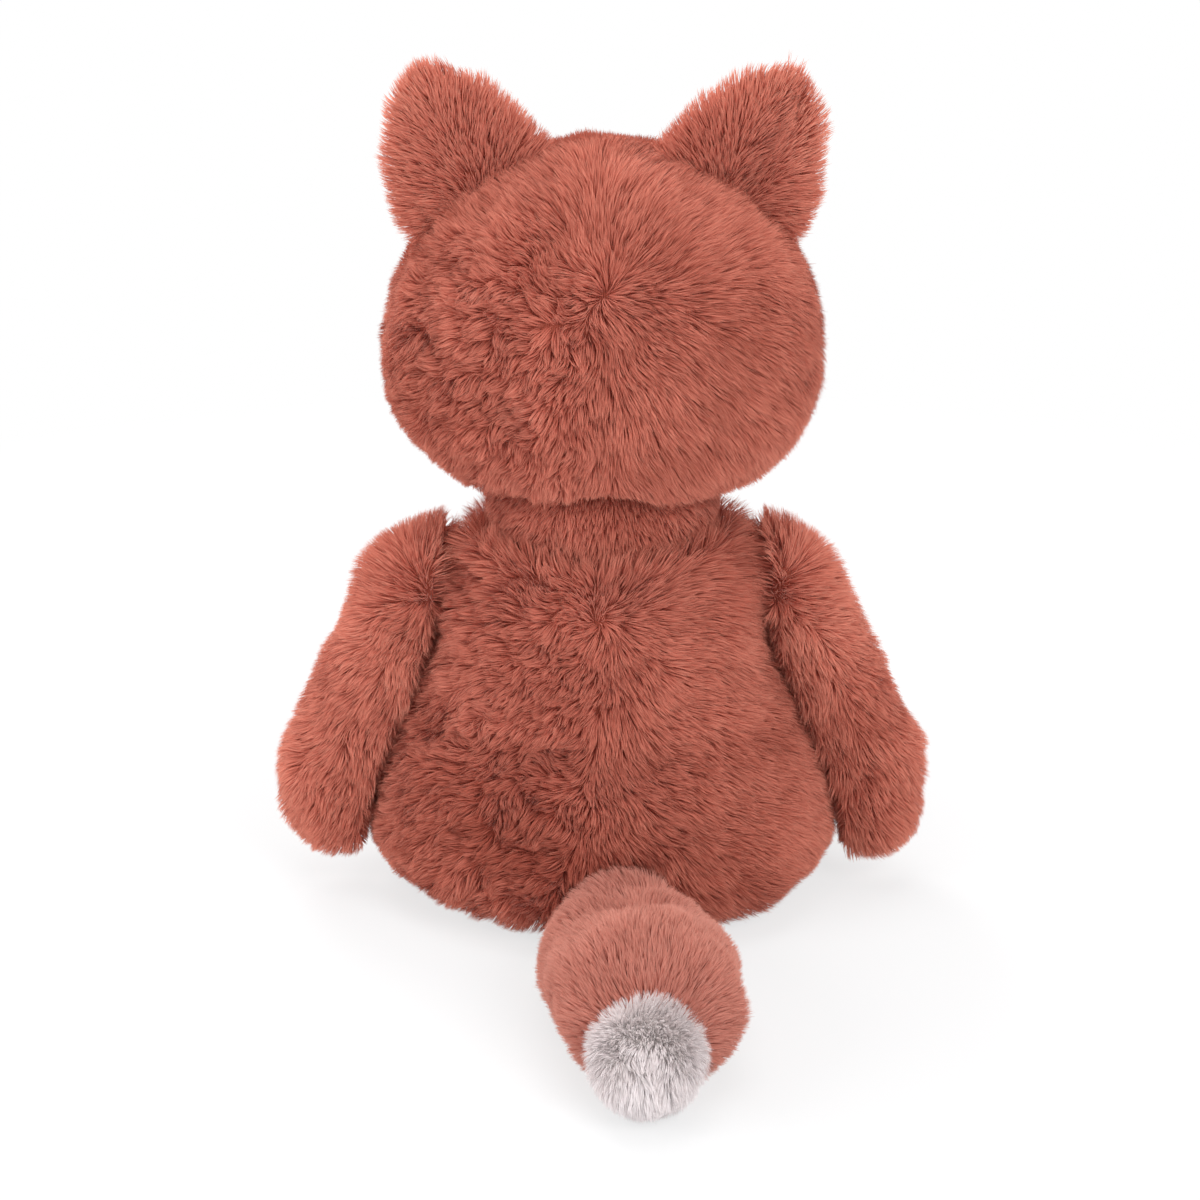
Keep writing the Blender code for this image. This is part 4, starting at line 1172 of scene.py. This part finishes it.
def make_leg(side, sign, seed):
    """A leg's skin with its sole, its pile, and short pile on the root that a lowered leg shows."""
    body = "leg_" + side
    pivot = PIVOTS["hip_" + side]
    rotation = (math.pi / 2, 0.0, sign * LEG_SPLAY)
    size = (2 * LEG_RADIUS, 2 * LEG_RADIUS, LEG_LENGTH + LEG_RADIUS)
    form = Form(LEG_RINGS, size, -LEG_RADIUS, pivot, rotation, LIMB_INSET, (0.0, LEG_RADIUS))
    form.push(LIMB_LUMP_HEIGHT * waves(form.points, LIMB_LUMPS, seed))
    form.lift(LEG_CLEARANCE)

    def on_sole(points, normals=None):
        places = form.local(points)
        inside = in_oval(places[:, [0, 1]], (0.0, SOLE_RISE), SOLE_WIDTH, SOLE_HEIGHT)
        return inside & (places[:, 2] > LEG_LENGTH * SOLE_START_SHARE)

    make_skin("leg_skin_" + side, form, body, "rust_fur", (body, "sole_pad_" + side),
              (RUST_BACKING, CREAM_BACKING), on_sole)

    def comb(points, normals):
        """Along the leg to the foot, and down its sides."""
        return toward(points, 0.0, 0.0, 1.0) @ form.turn.T + toward(points, 0.0, 0.0, -0.5)

    def on_fur(roots, normals):
        return ~on_sole(roots) & (form.local(roots)[:, 2] > LEG_ROOT_END)

    def on_root(roots, normals):
        return (form.local(roots)[:, 2] <= LEG_ROOT_END) & (normals[:, 2] > LEG_ROOT_FACING)

    grow("leg_pile_" + side, form, body, "rust_fur", RUST_PILE, comb, seed + 10, on_fur,
         length=LIMB_PILE, mess=0.30)
    grow("leg_root_pile_" + side, form, body, "rust_fur", RUST_PILE, comb, seed + 20, on_root,
         length=LEG_ROOT_PILE, density=0.8, mess=0.15, lean=(0.3, 0.9))
    grow("sole_pile_" + side, form, body, "short_pile", SHORT_FUR, comb, seed + 30, on_sole,
         length=SOLE_PILE, density=1.8, mess=0.2, lean=(0.1, 0.7), width=SHORT_BLADE_WIDTH)


# Tail

# Places along it are measured from its pivot
LOBE_PLACE = 0.032
LOBE_LENGTH = 0.016
LOBE_X = 0.015
LOBE_WIDTH = 0.010
LOBE_RISE = 0.0036
LOBE_SPREAD = 0.0030
LOBE_HEIGHTS = (0.004, 0.016)
NOTCH_DEPTH = 0.0024
NOTCH_WIDTH = 0.005
ROOT_HEIGHT_SHARE = 0.76
ROOT_REACH = (0.030, 0.075)
TIP_X = 0.004
TIP_EDGE_HEIGHTS = (0.010, 0.024)
TAIL_PILE_START = -0.004
TIP_PILE_START = 0.004


def make_tail():
    """The tail's stuffing, its skin, its tip and their pile."""
    pivot = PIVOTS["tail_swing"]
    rotation = (-math.pi / 2, 0.0, TAIL_TURN)
    size = (2 * TAIL_RADIUS, 2 * TAIL_RADIUS, TAIL_LENGTH)

    def tail_form(inset):
        """The tail, low at its root, with two lobes side by side before it swells."""
        shape = Form(TAIL_RINGS, size, -TAIL_ROOT_RADIUS, pivot, rotation, inset,
                     (0.0, -TAIL_RADIUS))
        x, y, z = shape.local(shape.points).T
        above = ease(-y, *LOBE_HEIGHTS)
        root = bump(z, LOBE_PLACE, LOBE_LENGTH)
        swell = ease(z, *ROOT_REACH)
        shape.points[:, 2] *= ROOT_HEIGHT_SHARE + (1 - ROOT_HEIGHT_SHARE) * swell
        shape.points[:, 0] += LOBE_SPREAD * np.sign(x) * root
        lift = LOBE_RISE * bump(np.abs(x), LOBE_X, LOBE_WIDTH) - NOTCH_DEPTH * bump(x, 0.0, NOTCH_WIDTH)
        shape.push(lift * root * above + LIMB_LUMP_HEIGHT * waves(shape.points, CURL_LUMPS, 51))
        shape.lift(TAIL_CLEARANCE)
        return shape

    form = tail_form(TAIL_INSET)
    make_skin("tail_stuffing", tail_form(TAIL_INSET + STUFFING_GAP), "tail", "polyester_filling",
              ("tail_filling",), (FIBRE,))
    make_skin("tail_skin", form, "tail", "rust_fur", ("tail_fur",), (RUST_BACKING,))
    tip_start = TAIL_LENGTH - TAIL_ROOT_RADIUS - TIP_SUNK
    seam = np.array([TIP_X, pivot[2] - TIP_Z, tip_start])
    tip = Form(TIP_RINGS, (2 * TIP_RADIUS, 2 * TIP_RADIUS, TIP_LENGTH), 0.0, pivot + form.turn @ seam,
               rotation, TIP_INSET)
    tip.lift(TAIL_CLEARANCE)
    make_skin("tail_tip_skin", tip, "tail", "cream_fur", ("tail_tip",), (CREAM_BACKING,))
    along = form.turn @ np.array([0.0, 0.0, 1.0])
    centre = pivot + form.turn @ (seam + np.array([0.0, 0.0, TIP_LENGTH * 0.3]))

    def comb(points, normals):
        """Away from the tip on every side, and back over the tail."""
        spread = points - centre
        spread[:, 1] = 0.0
        return unit(spread) - toward(points, *(0.5 * along))

    def tip_comb(points, normals):
        """Down, and up and out at the upper edge."""
        edge = ease(points[:, 2], *TIP_EDGE_HEIGHTS)[:, None]
        down = unit(points - centre) * 0.35 + toward(points, 0.0, 0.0, -0.9)
        return down * (1 - edge) + unit(points - centre) * edge

    def outer(roots, normals):
        return form.local(roots)[:, 2] > TAIL_PILE_START

    def beyond(roots, normals):
        return form.local(roots)[:, 2] > tip_start + TIP_PILE_START

    grow("tail_pile", form, "tail", "rust_fur", TAIL_PILE, comb, 510, outer, length=TAIL_PILE_LENGTH,
         density=1.3, mess=0.18, lean=(0.35, 1.0))
    grow("tail_tip_pile", tip, "tail", "cream_fur", CREAM_PILE, tip_comb, 540, beyond,
         length=TIP_PILE_LENGTH, density=1.7, mess=0.26, lean=(0.35, 1.05))


def finish_inner_pieces():
    """Finishes for the solids that stay, inside the skins."""
    for name, node in frame["nodes"].items():
        if "filling" in name:
            chosen = FIBRE
        elif name == "bean_bag":
            chosen = BAG_CLOTH
        elif "washer" in name:
            chosen = WASHER_PLASTIC
        else:
            continue
        for place in node.material_slots:
            place.material = chosen


# Stage

LAMP_AIM = (0.0, 0.0, 0.12)
LAMPS = (
    ("key", (-0.75, 1.25, 1.05), 0.9, 14.0),
    ("fill", (1.20, 0.70, 0.75), 0.9, 9.0),
    ("front_key", (0.60, -1.30, 1.05), 0.9, 14.0),
    ("top", (0.0, 0.0, 1.60), 1.2, 8.0),
)
FLOOR_REACH = 6.0
FLOOR_FADE = (0.25, 0.60)
FLOOR_GLOW = 0.70
FLOOR_COLOR = (0.86, 0.86, 0.87, 1.0)
ROOM_LIGHT = 0.50
WHITE = (1.0, 1.0, 1.0, 1.0)


def make_floor():
    """A pale floor that keeps the fox's shadow, and fades to white around it."""
    mesh = bpy.data.meshes.new("floor")
    corners = [(x * FLOOR_REACH, y * FLOOR_REACH, 0.0) for x, y in ((-1, -1), (1, -1), (1, 1), (-1, 1))]
    mesh.from_pydata(corners, [], [(0, 1, 2, 3)])
    floor = bpy.data.objects.new("floor", mesh)
    bpy.context.scene.collection.objects.link(floor)
    material = bpy.data.materials.new("floor")
    material.use_nodes = True
    tree = material.node_tree
    tree.nodes.clear()
    out = node_at(tree, "ShaderNodeOutputMaterial")
    matt = node_at(tree, "ShaderNodeBsdfDiffuse", {"Color": FLOOR_COLOR})
    glow = node_at(tree, "ShaderNodeEmission", {"Color": WHITE})
    path = node_at(tree, "ShaderNodeLightPath")
    place = node_at(tree, "ShaderNodeTexCoord")
    away = node_at(tree, "ShaderNodeVectorMath", operation="LENGTH")
    share = node_at(tree, "ShaderNodeMapRange", {"From Min": FLOOR_FADE[0], "From Max": FLOOR_FADE[1],
                                                 "To Min": FLOOR_GLOW})
    seen = node_at(tree, "ShaderNodeMath", operation="MULTIPLY")
    blend = node_at(tree, "ShaderNodeMixShader")
    wire(tree,
         (place, "Object", away, 0),
         (away, "Value", share, "Value"),
         (path, "Is Camera Ray", seen, 0),
         (share, "Result", seen, 1),
         (seen, 0, blend, "Fac"),
         (matt, 0, blend, 1),
         (glow, 0, blend, 2),
         (blend, 0, out, "Surface"))
    mesh.materials.append(material)


def make_world():
    """Even studio light, and white where the camera sees it."""
    world = bpy.data.worlds.new("studio")
    bpy.context.scene.world = world
    world.use_nodes = True
    tree = world.node_tree
    tree.nodes.clear()
    out = node_at(tree, "ShaderNodeOutputWorld")
    room = node_at(tree, "ShaderNodeBackground", {"Color": WHITE})
    path = node_at(tree, "ShaderNodeLightPath")
    strength = node_at(tree, "ShaderNodeMapRange", {"To Min": ROOM_LIGHT, "To Max": 1.0})
    wire(tree,
         (path, "Is Camera Ray", strength, "Value"),
         (strength, "Result", room, "Strength"),
         (room, 0, out, "Surface"))


def make_lamp(name, place, size, power):
    """A soft area lamp aimed at the fox."""
    data = bpy.data.lights.new(name, "AREA")
    data.shape = "DISK"
    data.size = size
    data.energy = power
    lamp = bpy.data.objects.new(name, data)
    lamp.location = place
    aim = Vector(LAMP_AIM) - Vector(place)
    lamp.rotation_euler = aim.to_track_quat("-Z", "Y").to_euler()
    bpy.context.scene.collection.objects.link(lamp)


def make_camera():
    """The camera of the photo, behind the fox and a little above."""
    data = bpy.data.cameras.new("camera")
    data.sensor_width = SENSOR_WIDTH
    data.lens = SENSOR_WIDTH * CAMERA_DISTANCE / PICTURE_WIDTH
    camera = bpy.data.objects.new("camera", data)
    aim = Vector(CAMERA_AIM)
    back = Vector((0.0, math.cos(CAMERA_ELEVATION), math.sin(CAMERA_ELEVATION)))
    camera.location = aim + back * CAMERA_DISTANCE
    camera.rotation_euler = (-back).to_track_quat("-Z", "Y").to_euler()
    bpy.context.scene.collection.objects.link(camera)
    bpy.context.scene.camera = camera


make_camera()
make_body()
make_neck()
make_head()
make_muzzle()
make_face()
for index, (side, sign) in enumerate(SIDES):
    make_ear(side, sign, 300 + 50 * index)
    make_arm(side, sign, 400 + 50 * index)
    make_leg(side, sign, 600 + 50 * index)
make_tail()
finish_inner_pieces()
make_floor()
make_world()
for lamp in LAMPS:
    make_lamp(*lamp)
bpy.context.scene.view_settings.view_transform = "Standard"
